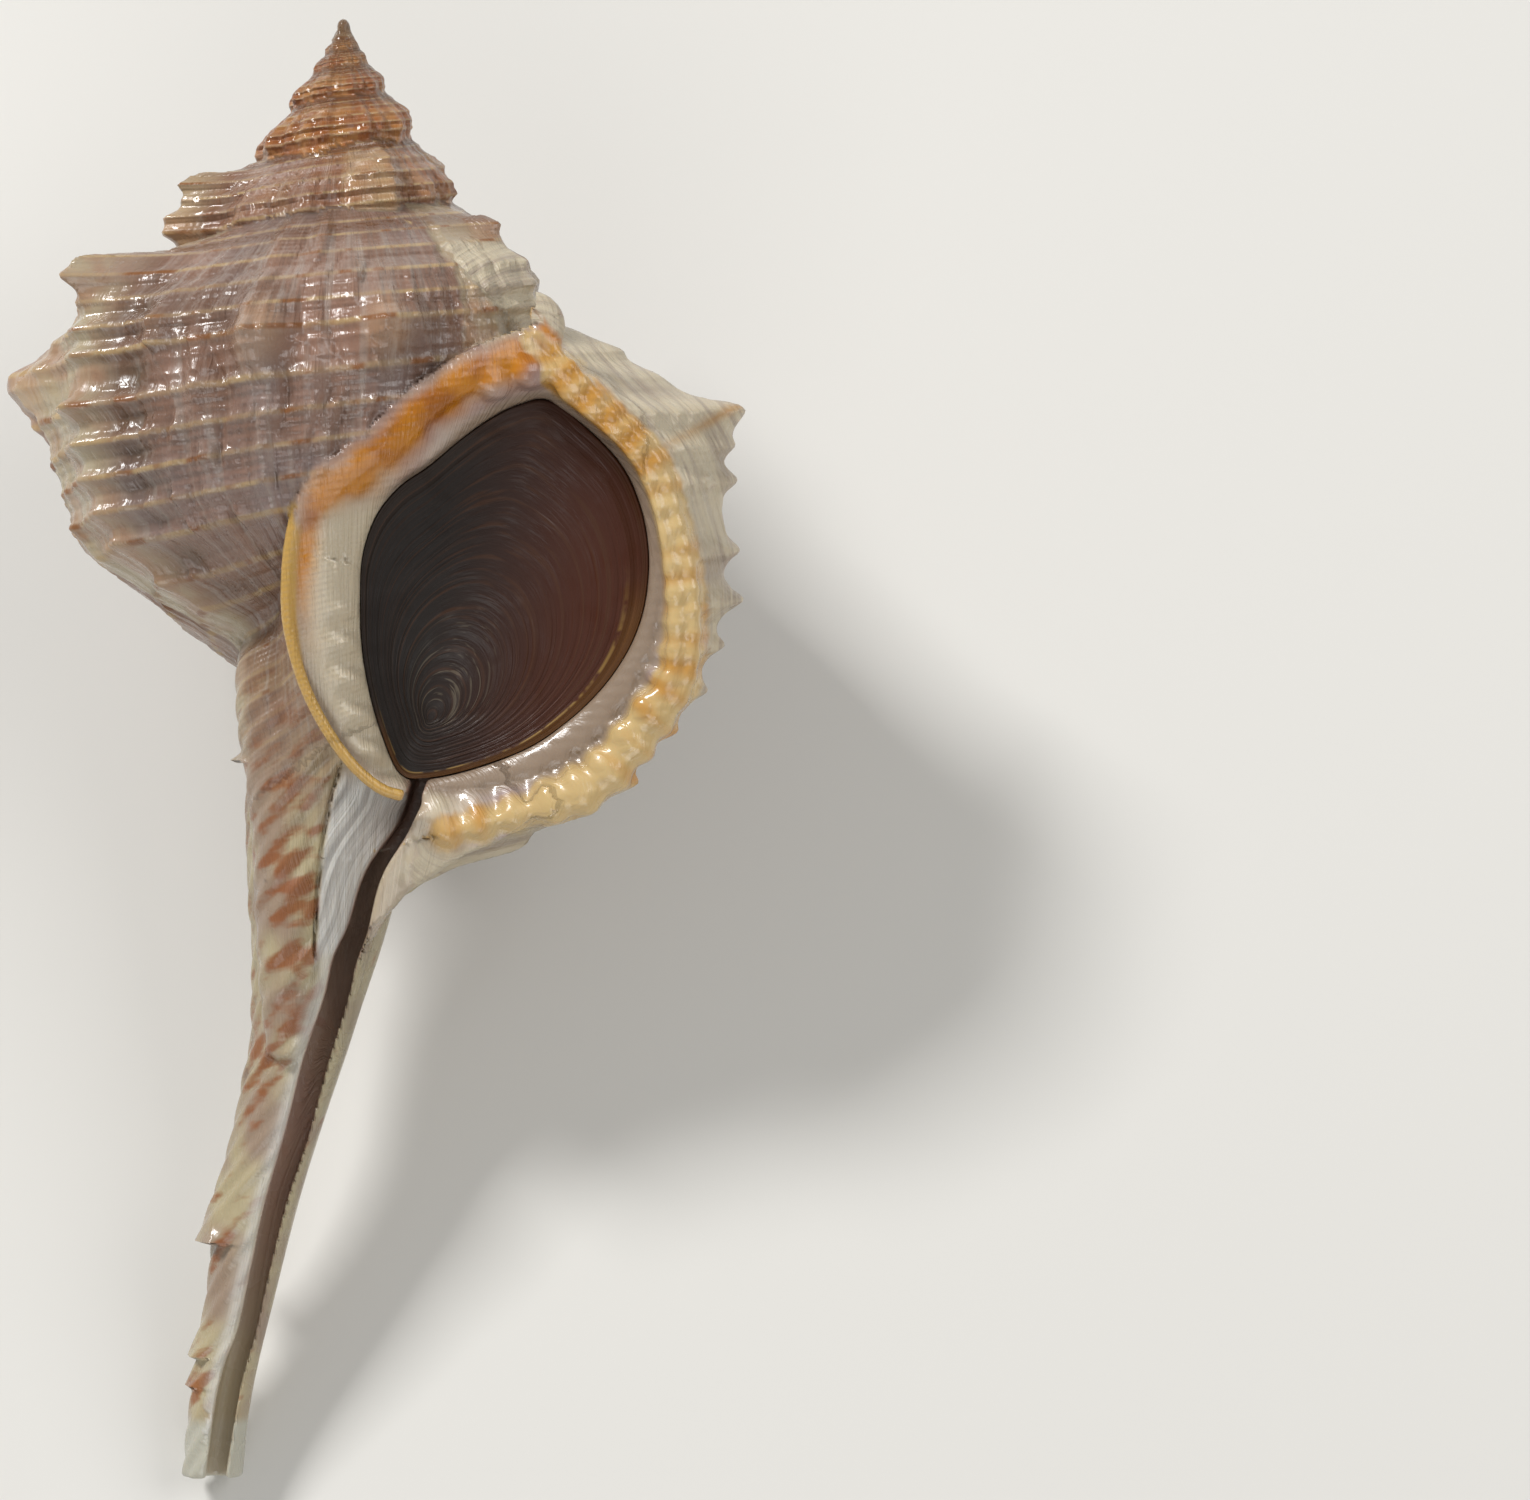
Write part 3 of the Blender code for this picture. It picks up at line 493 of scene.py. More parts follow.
@dataclass
class Canal:
    """The long open canal, the scales on it and the stub of the canal before it."""

    # distance from apex, sideways place of the centre, half width
    tube: Points = (
        (24.0, 0.0, -6.0), (32.0, 0.0, 2.0), (38.0, 0.0, 4.4), (45.0, -0.5, 5.2),
        (49.0, -0.9, 5.0), (52.5, -1.3, 4.5), (56.0, -1.7, 3.9), (59.6, -2.3, 3.3),
        (62.0, -2.75, 3.0), (66.3, -3.9, 2.7), (71.1, -5.2, 2.5), (76.5, -6.2, 2.1),
        (83.0, -7.5, 1.85), (88.5, -8.1, 1.8),
    )
    backward: float = 2.0        # how far the tip bends behind the axis
    setback: float = 1.2         # how far it lies behind the axis below the mouth
    ridge: float = 0.11          # height, spacing and slant of the cords round it
    ridge_pitch: float = 2.0
    ridge_slant: float = 1.3
    # distance from apex of each broken step, its length and height, and how narrow it is
    scales: Points = ((44.7, 1.6, 1.3, 9.0), (73.8, 5.5, 1.1, 2.0), (80.7, 3.5, 0.6, 2.0),
                      (82.6, 1.7, 0.5, 2.0))
    stub: Points = (
        (34.0, -0.5, 0.5), (37.5, -2.9, 2.7), (41.0, -3.4, 2.9), (48.0, -3.1, 2.3),
        (53.0, -3.2, 1.95), (58.0, -3.35, 1.55), (62.6, -3.4, 1.0),
    )
    stub_front: float = 2.0      # how far the stub lies before the axis
    # gap between the stub and the silky wall: x, distance from apex, half width
    seam: Points = (
        (0.1, 45.0, 0.05), (-0.5, 47.0, 0.10), (-1.1, 50.0, 0.12), (-1.45, 53.4, 0.10),
        (-1.6, 56.2, 0.05),
    )
    seam_depth: float = 0.35
    slit: Points = (
        (45.6, 4.9, 0.45), (48.5, 3.9, 0.45), (51.5, 1.95, 0.5), (54.7, 1.0, 0.6),
        (56.6, 0.2, 0.68), (59.0, -0.4, 0.65), (62.7, -1.6, 0.7), (66.9, -2.7, 0.65),
        (71.1, -4.0, 0.58), (75.3, -5.0, 0.52), (78.9, -5.8, 0.5), (82.5, -6.9, 0.62),
        (89.5, -8.0, 0.55),
    )

    def __post_init__(self) -> None:
        """Turn the tables into smooth curves."""
        self.centre = Profile(self.tube, 1)
        self.half = Profile(self.tube, 2)
        self.slit_x = Profile(self.slit, 1)
        self.stub_x = Profile(self.stub, 1)
        self.stub_half = Profile(self.stub, 2)

    def shift(self, y: Array) -> Array:
        """How far the canal lies behind the axis."""
        bend = self.backward * np.clip((y - 50.0) / 38.0, 0.0, 1.0) ** 1.5
        return bend + self.setback * bump(y - 54.0, 9.0)

    def twist(self, x: Array, y: Array, z: Array) -> Array:
        """Counts the slanting cords that wind round the canal and the stub."""
        about = np.arctan2(z + self.shift(y), self.centre(y) - x)
        return (y + self.ridge_slant * self.half(y) * about) / self.ridge_pitch

    def solids(self, x: Array, y: Array, z: Array) -> tuple[Array, Array]:
        """Fields of the canal's wall and of the old stub.

        Args:
            x: side of the outer lip.
            y: depth below the apex.
            z: side of the mouth.

        Returns:
            The two fields.
        """
        shift = self.shift(y)
        centre = self.centre(y)
        width = self.half(y)
        ridge = np.cos(2.0 * np.pi * self.twist(x, y, z))
        ridge = ridge * (0.7 + 0.5 * sway(y / 5.3 + 0.1 * x, 5.0))
        rightward = (x - centre) / width * (z + shift > -0.5 * width)
        wall = width + self.ridge * ridge * (1.0 - ramp(rightward, -0.1, 0.5)) * ramp(y, 37.0, 42.0)
        leftward = np.clip((centre - x) / width, 0.0, 1.0)
        for end, length, height, narrow in self.scales:
            rise = np.clip((y - end + length) / length, 0.0, 1.0) ** 2
            wall = wall + height * leftward ** narrow * rise * (y < end)
        tube = wall - np.hypot(x - centre, z + shift)
        stub = self.stub_half(y) - np.hypot(x - self.stub_x(y), z - self.stub_front)
        stub = stub + self.ridge * ridge
        end = 1.4 * (self.stub[-1][0] - y)
        stub = np.where(y > self.stub[0][0], smooth_min(stub, end, 0.8), OUTSIDE)
        return tube, stub

    def bore(self, across: Array, gap: Array, x: Array, y: Array, z: Array) -> Array:
        """Field of the slit and of the bore behind it."""
        shift = self.shift(y)
        width = self.half(y)
        slit = smooth_min(gap - np.abs(across), z + shift - 0.1 * width, 0.3)
        middle = 0.5 * (self.centre(y) + self.slit_x(y))
        bore = 0.38 * width - np.hypot(x - middle, z + shift - 0.3 * width)
        return smooth_max(slit, np.where(y > 50.0, bore, OUTSIDE), 0.3)


@dataclass
class Probe:
    """Places where the shell is sampled, with what every part needs to know there."""

    x: Array
    y: Array
    z: Array
    radius: Array                # distance from the axis
    angle: Array                 # angle round the axis, degrees
    front: Array                 # level of the mouth's front plane
    opening: Array               # distance inside the opening's outline
    area: Array                  # distance inside the outline of the last turn's front


@dataclass
class Mouth:
    """The opening with its inner lip, callus, beaded ridge and front plane."""

    map_step: float = 0.12
    opening: Points = (
        (12.7, 23.3), (15.1, 24.7), (17.3, 26.8), (18.6, 29.3), (19.2, 31.8), (19.3, 34.2),
        (19.0, 37.0), (18.2, 39.4), (16.8, 41.9), (14.8, 44.0), (12.0, 45.5), (8.4, 46.3),
        (5.2, 46.3), (3.5, 45.4), (2.5, 43.0), (1.9, 40.6), (1.5, 37.8), (1.5, 35.0),
        (1.7, 32.5), (2.5, 30.1), (3.9, 28.4), (5.6, 27.2), (7.4, 25.7), (9.2, 24.4),
        (10.8, 23.6),
    )
    # the opening's outline at the level of the lid
    throat: Points = (
        (12.7, 23.4), (14.9, 25.0), (16.9, 27.1), (18.0, 29.4), (18.5, 31.8), (18.5, 34.0),
        (18.1, 36.2), (17.2, 38.3), (15.7, 40.4), (13.7, 42.3), (11.3, 43.9), (8.1, 45.1),
        (5.3, 45.7), (3.7, 45.4), (2.65, 43.0), (2.0, 40.6), (1.6, 37.8), (1.55, 35.0),
        (1.75, 32.5), (2.6, 30.2), (4.0, 28.5), (5.7, 27.3), (7.5, 25.8), (9.3, 24.5),
        (10.9, 23.7),
    )
    # small bumps on the glaze at the mouth's top corner
    bumps: Points = ((9.6, 22.6), (11.6, 21.9))
    rim: Points = (
        (-1.3, 28.2, 12.0), (-2.2, 31.0, 11.6), (-2.6, 34.0, 11.0), (-2.5, 37.0, 10.4),
        (-1.5, 40.6, 9.6), (0.4, 44.0, 8.8), (2.6, 46.2, 8.2), (4.9, 46.9, 7.8),
    )
    callus: Points = (
        (11.6, 19.2, 11.0), (8.6, 20.4, 12.3), (5.2, 22.6, 13.1), (1.9, 25.7, 12.9),
        (-1.3, 28.2, 12.0),
    )
    behind: Points = (
        (4.3, 48.4), (2.8, 51.0), (1.9, 54.0), (1.5, 57.0), (2.5, 57.0),
        (3.1, 54.2), (4.5, 52.2), (8.0, 51.0), (13.0, 50.2), (18.0, 49.0),
        (34.0, 50.0), (40.0, 30.0), (34.0, 10.0), (14.0, 9.0),
    )
    beads: Points = (
        (12.0, 20.2, 11.2), (13.0, 21.2, 11.2), (14.2, 22.6, 11.0), (16.2, 24.8, 10.5),
        (18.5, 27.1, 9.9), (19.6, 30.1, 9.5), (20.6, 34.6, 8.8), (20.4, 39.6, 7.6),
        (18.4, 42.4, 7.4), (15.6, 45.7, 7.0), (13.1, 47.0, 6.8), (10.0, 48.0, 6.7),
        (6.6, 48.9, 6.6),
    )
    plane: Points = (
        (10.0, 13.9, 0.20), (23.0, 13.9, 0.20), (28.0, 12.6, 0.16), (36.0, 10.2, 0.07),
        (42.0, 8.4, 0.05), (47.0, 7.0, 0.04), (52.0, 5.6, 0.02), (58.0, 4.2, 0.0),
        (64.0, 3.0, 0.0),
    )
    stripe: Points = ((24.3, 23.2), (19.2, 26.4))
    stripe_width: float = 0.28
    lips_above: float = 2.0      # the lips' edges lie higher than this along z
    dip: float = 1.3             # how far the front sinks at the opening
    dip_width: float = 2.4
    flute: float = 0.22          # height of the cords on the lip's face
    rim_radius: float = 0.34
    bump_radius: float = 0.95
    cavity_depth: float = 10.5
    cavity_taper: float = 0.3
    # radius, unevenness and place across the ridge of its inner and outer row
    inner_row: tuple[float, float, float] = (0.64, 0.10, -0.42)
    outer_row: tuple[float, float, float] = (0.42, 0.05, 0.5)
    bead_radius: float = 0.95    # of the one broad row farther down
    broad_from: tuple[float, float] = (22.0, 26.0)
    ridge_length: float = 35.5
    inner_pitch: float = 1.75    # spacing of the knobs on the inner edge
    outer_pitch: float = 1.25    # spacing of the small beads on the outer edge
    fold_height: float = 0.34    # folds on the inner lip
    fold_pitch: float = 2.1
    groove: float = 0.22         # folds between the ridge and the lid

    def __post_init__(self) -> None:
        """Measure the front map against the opening, the lips and the ridge."""
        self.plane_z = Profile(self.plane, 1)
        self.plane_slope = Profile(self.plane, 2)
        self.map = FrontMap(self.map_step)
        edge = [p[:2] for p in self.callus] + [p[:2] for p in self.rim[1:]]
        jobs = (lambda: self.map.inside(self.opening),
                lambda: self.map.inside(self.throat),
                lambda: self.map.inside(edge + list(self.behind)),
                lambda: self.map.along(self.beads),
                lambda: self.map.along(self.rim),
                lambda: self.map.along(self.callus))
        with ThreadPoolExecutor(4) as pool:
            done = list(pool.map(lambda job: job(), jobs))
        self.hole, self.deep, self.area = done[:3]
        self.bead_line, self.rim_line, self.callus_line = done[3:]

    def front(self, x: Array, y: Array) -> Array:
        """Height of the mouth's front plane."""
        return self.plane_z(y) - self.plane_slope(y) * x

    def line(self, tables: tuple[Array, ...], at: Probe) -> tuple[Array, ...]:
        """Distance across a line, length along it and its third value."""
        return tuple(self.map.read(table, at.x, at.y) for table in tables)

    def face(self, at: Probe, flute: Array) -> Array:
        """Level of the front, with the folds and grooves of both lips.

        Args:
            at: the places.
            flute: 1 on the cords that run out over the lip, 0 between them.

        Returns:
            The level along z.
        """
        across, along, _ = self.line(self.bead_line, at)
        dip = np.clip(1.0 + at.opening / self.dip_width, 0.0, 1.0) ** 2
        fold = np.cos(2.0 * np.pi * at.y / self.fold_pitch) * bump(at.opening + 0.5, 1.0)
        fold = self.fold_height * fold * np.clip(6.0 - at.x, 0.0, 1.0)
        fold = fold * np.clip(at.y - 35.0, 0.0, 1.0)
        grooves = np.cos(2.0 * np.pi * along / self.fold_pitch) * bump(at.opening + 1.1, 1.1)
        fold = fold + self.groove * grooves * ramp(along, 16.0, 20.0)
        outward = np.clip((across - 1.0) / 4.0, 0.0, 1.0) * (at.x > 4.0)
        lines = 0.03 * sway(across / 0.62, 1.5)
        return at.front - self.dip * dip + fold + outward * (self.flute * flute - 0.12 + lines)

    def ridge(self, at: Probe) -> Array:
        """Field of the beaded ridge: two rows of knobs, one broad row below.

        Args:
            at: the places.

        Returns:
            The field, positive inside.
        """
        across, along, level = self.line(self.bead_line, at)
        level = np.maximum(level, at.front + 0.25 - 0.25 * ramp(along, 24.0, 30.0))
        above = np.maximum(at.z - level + 0.4, 0.0)
        lobe = np.cos(2 * np.pi * along / self.inner_pitch) * (0.7 + 0.3 * sway(along / 6.0, 2.0))
        radius, uneven, place = self.inner_row
        inner = radius + uneven * lobe - np.hypot(across - place, above)
        dots = np.cos(2 * np.pi * along / self.outer_pitch + 1.0)
        radius, uneven, place = self.outer_row
        above_outer = np.maximum(at.z - level + 0.25, 0.0)
        outer = radius + uneven * dots - np.hypot(across - place, above_outer)
        beads = smooth_max(inner, outer, 0.45)
        wide = self.bead_radius + 0.13 * np.cos(2 * np.pi * along / self.fold_pitch)
        wide = wide - np.hypot(across / 1.4, above)
        lower = ramp(along, *self.broad_from)
        beads = np.where(at.z > self.lips_above, beads * (1.0 - lower) + wide * lower, OUTSIDE)
        ends = np.minimum(ramp(along, 0.0, 2.5), ramp(self.ridge_length - along, 0.0, 3.0))
        return beads - 0.6 * (1.0 - ends)

    def free_edge(self, at: Probe) -> Array:
        """Field of the thin rounded rim of the inner lip."""
        across, _, level = self.line(self.rim_line, at)
        rim = self.rim_radius - np.hypot(across, at.z - level)
        return np.where(at.z > self.lips_above, rim, OUTSIDE)

    def roll(self, at: Probe) -> Array:
        """Field of the callus's swollen edge and of the bumps in its corner."""
        across, _, level = self.line(self.callus_line, at)
        roll = 0.75 - np.hypot((np.abs(across) - 0.9) / 1.6, at.z - level + 0.2)
        for x, y in self.bumps:
            lump = np.hypot(np.hypot(at.x - x, at.y - y), at.z - at.front + 0.2)
            roll = smooth_max(roll, self.bump_radius - lump, 0.5)
        return np.where((at.z > self.lips_above) & (at.area > 0.0), roll, OUTSIDE)

    def hollow(self, at: Probe) -> Array:
        """Field of the opening and of the pocket behind it."""
        depth = at.front - at.z
        narrow = self.cavity_taper * np.maximum(depth - 4.0, 0.0)
        sink = ramp(depth, 0.6, 2.2)
        hollow = at.opening * (1.0 - sink) + self.map.read(self.deep, at.x, at.y) * sink
        return smooth_min(hollow - narrow, self.cavity_depth - depth, 2.0)

    def stripe_at(self, at: Probe) -> Array:
        """Mask of the brown line from the lip's spine to the ridge."""
        (x0, y0), (x1, y1) = self.stripe
        share = np.clip(((at.x - x0) * (x1 - x0) + (at.y - y0) * (y1 - y0))
                        / ((x1 - x0) ** 2 + (y1 - y0) ** 2), 0.0, 1.0)
        off = np.hypot(at.x - x0 - share * (x1 - x0), at.y - y0 - share * (y1 - y0))
        return bump(off, self.stripe_width) * (1.0 - 0.6 * share)


class Zone(Enum):
    """Stretches of the surface that differ in colour, each a mask on the mesh."""

    CORD = "cord_number"         # counts the cords down the turn, whole on a cord
    GROWTH = "growth_degrees"    # growth angle
    VARIX = "varix"              # face and crest of a varix
    # the hollow behind a varix gets painted shade: it is darkened olive-brown
    PIT = "pit"                  # hollow just behind a varix
    # nodule tops are painted pale: partly their own tone, partly a painted highlight
    KNOB = "knob"                # nodule tops
    AGE = "age"                  # 0 on the last turn, 1 near the apex
    # the suture's mask paints shade: darker along the crease between turns
    SEAM = "seam"                # suture
    LIP = "lip_face"             # front of the outer lip
    BEAD = "bead"                # beaded ridge
    BEAD_TONE = "bead_tone"      # 0 on a knob, 1 between two
    CALLUS = "callus"            # glaze above the mouth
    ORANGE = "orange"            # orange band in it and along the inner lip
    SHELF = "shelf"              # white inner lip
    RIM = "rim"                  # free edge of the inner lip
    CANAL = "canal"              # outside of the canal and the stub
    BLOT = "blotched"            # how much brown the canal's outside carries
    WALL = "inner_wall"          # wall of the mouth above the lid
    STRIPE = "stripe"            # line from the lip's spine to the ridge
    TWIST = "canal_twist"        # counts the slanting cords of the canal
    SLIT = "slit"                # inside of the slit and of the mouth
    SILK = "silk"                # smooth wall of the newest canal
    DOWN = "depth"               # depth from the apex, 1 at the tip
    EDGE = "from_edge"           # distance from the beaded ridge or the slit, mm


@dataclass
class Shell:
    """The grown shell: field, mesh and surface masks."""

    quick: bool = False
    triangles: int = 196_000
    low: tuple[float, float, float] = (-25.0, -1.0, -25.0)
    high: tuple[float, float, float] = (29.0, 90.0, 20.0)
    glaze: float = 0.4           # thickness of the callus on the turn below it
    glaze_from: tuple[float, float] = (208.0, 222.0)    # it sets in between these angles
    aged_turns: float = 6.0      # so many turns back the shell looks its oldest
    # how widely the surface is rounded where parts meet, mm
    turn_join: float = 0.12      # at unit size, as is the next one
    suture_join: float = 0.45
    glaze_join: float = 0.3
    lip_join: float = 0.4
    lip_edge: float = 0.5
    neck_join: float = 2.2
    neck_left: float = 3.8       # added on the left of the neck
    stub_join: float = 0.5
    ridge_join: float = 0.45
    rim_join: float = 0.5
    roll_join: float = 0.8
    hollow_join: float = 0.35
    slit_join: float = 0.25
    seam_join: float = 0.2
    end_join: float = 0.3
    apex_radius: float = 0.36

    def __post_init__(self) -> None:
        """Make the parts of the field."""
        self.grid = 0.4 if self.quick else 0.2
        self.growth = Growth()
        self.whorls = Whorls(self.growth, fine=not self.quick)
        self.canal = Canal()
        self.mouth = Mouth(map_step=0.25 if self.quick else 0.12)
        self.slit_line = self.mouth.map.along([(p[1], p[0], p[2]) for p in self.canal.slit])
        self.seam_line = self.mouth.map.along(self.canal.seam)

    def probe(self, x: Array, y: Array, z: Array) -> Probe:
        """Places in shell axes, with what the parts need there."""
        mouth = self.mouth
        return Probe(x, y, z, np.hypot(x, z), self.growth.angle(x, z), mouth.front(x, y),
                     mouth.map.read(mouth.hole, x, y), mouth.map.read(mouth.area, x, y))

    def last_turn(self, at: Probe) -> Array:
        """Field of the newest stretch of the last turn, cut off by the mouth's front.

        Args:
            at: the places.

        Returns:
            The field, positive inside.
        """
        growth, whorls = self.growth, self.whorls
        flute = whorls.cord_lines(at.y / growth.size(at.angle), 0.45)
        last = whorls.field(at.radius, at.y, at.angle)
        grown = (at.angle > growth.last_from) & (at.angle < growth.fill_angle)
        last = np.where(grown, last, OUTSIDE)
        last = smooth_min(last, 0.9 * (self.mouth.face(at, flute) - at.z), self.lip_edge)
        return smooth_min(last, at.area, self.lip_edge)

    def callus(self, at: Probe, size: Array) -> Array:
        """Field of the glaze that covers the turn beside the mouth."""
        glaze = size * self.whorls.outline(at.y / size) + self.glaze - at.radius
        glaze = smooth_min(glaze, 0.8 * at.area, self.lip_edge)
        glaze = glaze - 4.0 * (1.0 - ramp(at.angle, *self.glaze_from))
        return np.where((at.angle > 200.0) & (at.z > 0.0), glaze, OUTSIDE)

    def parts(self, at: Probe) -> dict[str, Array]:
        """Fields of the parts of the shell, and of the whole as "all".

        Args:
            at: the places.

        Returns:
            One field for each named part, positive inside it, and as "steps"
            how many turns back the outer turn lies.
        """
        growth, whorls, mouth, canal = self.growth, self.whorls, self.mouth, self.canal
        out: dict[str, Array] = {}
        turn = growth.newest(at.angle)
        size = growth.size(turn)
        steps = growth.steps_back(at.y, turn)
        out["turn"] = whorls.field(at.radius, at.y, turn + 360.0 * steps)
        out["inner"] = whorls.field(at.radius, at.y, turn + 360.0 * (steps - 1.0))
        younger = np.minimum(steps + 1.0, 0.0)
        out["upper"] = whorls.field(at.radius, at.y, turn + 360.0 * younger)
        out["steps"] = steps
        out["body"] = smooth_max(out["turn"], out["inner"], self.turn_join * size)
        out["body"] = smooth_max(out["body"], out["upper"], self.suture_join * size)
        out["last"] = self.last_turn(at)
        out["canal"], out["stub"] = canal.solids(at.x, at.y, at.z)
        out["bead"], out["rim"] = mouth.ridge(at), mouth.free_edge(at)
        neck = self.neck_join + self.neck_left * ramp(-at.x, -1.0, 3.0)
        whole = out["body"]
        for solid, join in ((self.callus(at, size), self.glaze_join), (out["last"], self.lip_join),
                            (out["canal"], neck), (out["stub"], self.stub_join),
                            (out["bead"], self.ridge_join), (out["rim"], self.rim_join),
                            (mouth.roll(at), self.roll_join)):
            whole = smooth_max(whole, solid, join)

        out["hollow"] = mouth.hollow(at)
        whole = smooth_min(whole, -out["hollow"], self.hollow_join)
        across, _, gap = mouth.line(self.slit_line, at)
        out["slit"] = canal.bore(across, gap, at.x, at.y, at.z)
        whole = smooth_min(whole, -out["slit"], self.slit_join)
        across, _, gap = mouth.line(self.seam_line, at)
        seam = smooth_min(gap - np.abs(across), canal.seam_depth - whole, 0.15)
        whole = smooth_min(whole, -np.where(at.z > 0.0, seam, OUTSIDE), self.seam_join)
        whole = smooth_min(whole, growth.length - at.y, self.end_join)
        apex = self.apex_radius - np.hypot(at.radius, at.y - 0.34)
        whole = smooth_min(whole, 1.3 * (at.y + 0.05), self.end_join)
        out["all"] = smooth_max(whole, apex, 0.2)
        return out

    def field(self, x: Array, y: Array, z: Array) -> Array:
        """Field of the whole shell: positive inside, about the depth in millimetres."""
        return self.parts(self.probe(x, y, z))["all"].astype(np.float32)

    def sample(self, points: Array, chunk: int = 150_000) -> Array:
        """Field at many points, on four threads.

        Args:
            points: one point a row, in shell axes.
            chunk: how many points one call takes.

        Returns:
            The field at each point.
        """
        out = np.empty(len(points), np.float32)

        def run(start: int) -> None:
            """Fill in the field of one stretch of the points."""
            part = points[start:start + chunk]
            out[start:start + chunk] = self.field(part[:, 0], part[:, 1], part[:, 2])

        with ThreadPoolExecutor(4) as pool:
            list(pool.map(run, range(0, len(points), chunk)))
        return out

    def volume(self, block: int = 6, reach: float = 3.5) -> Array:
        """Field on a fine grid, worked out only in blocks near the surface.

        Args:
            block: how many grid steps a block has along each side.
            reach: blocks whose middle is deeper or farther than this are filled
                with the field of their middle.

        Returns:
            The grid of values.
        """
        low = np.array(self.low)
        counts = np.ceil((np.array(self.high) - low) / (self.grid * block)).astype(int)
        middles = [low[i] + self.grid * block * (np.arange(counts[i]) + 0.5) for i in range(3)]
        mesh = np.stack(np.meshgrid(*middles, indexing="ij"), axis=-1)
        coarse = self.sample(mesh.reshape(-1, 3)).reshape(mesh.shape[:3])
        values = coarse
        for axis in range(3):
            values = np.repeat(values, block, axis)
        cells = np.argwhere(np.abs(coarse) < reach)
        offsets = np.stack(np.meshgrid(*[np.arange(block)] * 3, indexing="ij"), -1).reshape(-1, 3)
        places = (cells[:, None, :] * block + offsets[None]).reshape(-1, 3)
        values[places[:, 0], places[:, 1], places[:, 2]] = self.sample(low + self.grid * places)
        return values

    def gradient(self, points: Array, step: float = 0.07) -> Array:
        """Direction in which the field falls at each point, as unit vectors.

        Args:
            points: one point a row.
            step: how far either side the field is read.

        Returns:
            One vector a row.
        """
        parts = []
        for axis in range(3):
            offset = np.zeros(3)
            offset[axis] = step
            parts.append(self.sample(points - offset) - self.sample(points + offset))
        slope = np.stack(parts, axis=1) / (2.0 * step)
        return slope / np.maximum(np.linalg.norm(slope, axis=1), 1e-6)[:, None]

    def turn_masks(self, at: Probe, part: dict[str, Array]) -> dict[Zone, Array]:
        """Masks of the coiled turns.

        Args:
            at: the vertices.
            part: the fields of the shell's parts there.

        Returns:
            One value a vertex for each of these zones.
        """
        growth, whorls = self.growth, self.whorls
        choice = np.argmax([part["inner"], part["turn"], part["upper"]], axis=0) - 1.0
        turn = growth.newest(at.angle) + 360.0 * np.minimum(part["steps"] + choice, 0.0)
        on_last = (part["last"] > part["body"] + 0.15) & (at.angle < growth.lip_angle)
        turn = np.where(on_last, at.angle, turn)
        place = at.y / growth.size(turn)
        level = np.zeros(len(turn))
        for angle, size, _, _ in whorls.varices:
            ahead = turn - angle
            fall = ramp(ahead, whorls.varix_front + 0.5, whorls.varix_front + 2.5)
            level = np.maximum(level, ramp(ahead, -9.0, 1.0) * (1.0 - fall) * min(1.0, size + 0.2))
        cords = [cord for cord, _, _ in whorls.cords]
        counts = [-6.0] + list(range(len(cords))) + [len(cords) + 8.0]
        low, high = whorls.places
        return {
            Zone.CORD: np.interp(place, [low] + cords + [high], counts),
            Zone.GROWTH: turn,
            Zone.VARIX: level,
            Zone.PIT: whorls.pits(place, turn) * (1.0 - 0.7 * level),
            Zone.KNOB: ramp(whorls.knobs(place, turn), 0.6, 2.4),
            Zone.AGE: np.clip(-turn / (360.0 * self.aged_turns), 0.0, 1.0),
            Zone.SEAM: bump((place - growth.suture) * growth.size(turn), 0.5),
        }

    def mouth_masks(self, at: Probe, part: dict[str, Array], facing: Array) -> dict[Zone, Array]:
        """Masks of the lips, the glaze and the mouth's wall.

        Args:
            at: the vertices.
            part: the fields of the shell's parts there.
            facing: how far the surface faces the mouth's side, 1 straight at it.

        Returns:
            One value a vertex for each of these zones.
        """
        mouth = self.mouth
        out: dict[Zone, Array] = {}
        lift = at.z - at.front
        across, along, _ = mouth.line(mouth.bead_line, at)
        rim_across = mouth.line(mouth.rim_line, at)[0]
        callus_across = mouth.line(mouth.callus_line, at)[0]
        outside = ramp(across, 1.0, 1.35) * (at.x > 4.5)
        rest = np.maximum(part["body"], part["canal"])
        bead = ramp(part["bead"] - part["all"], -0.55, -0.2)
        out[Zone.BEAD] = bead
        out[Zone.BEAD_TONE] = 0.5 - 0.5 * np.cos(2.0 * np.pi * along / mouth.inner_pitch)
        lip = ramp(lift, -1.2, -0.5) * outside * (part["last"] > rest - 0.1)
        flange = ramp(facing, 0.05, 0.3) * ramp(at.angle, 186.0, 191.0) * (at.angle < 232.0)
        flange = flange * outside * (at.z > 0.0) * (at.y > 14.0)
        out[Zone.LIP] = np.maximum(lip, flange) * (1.0 - bead)
        out[Zone.EDGE] = across
        out[Zone.STRIPE] = mouth.stripe_at(at)
        out[Zone.CALLUS] = self.enamel(at) * (1.0 - outside) * (1.0 - bead)
        wavy = 0.25 * sway((at.x - at.y) / 5.0, 1.0)
        band = 1.4 * bump(callus_across - 1.5 + wavy, 1.2) * (1.0 - ramp(at.y, 28.5, 31.0))
        down_rim = 1.3 * bump(rim_across - 0.8, 0.7) * (1.0 - ramp(at.y, 31.0, 40.0))
        down_rim = down_rim * ramp(at.y, 26.5, 29.5)
        out[Zone.ORANGE] = np.clip(band + down_rim, 0.0, 1.0) * out[Zone.CALLUS]
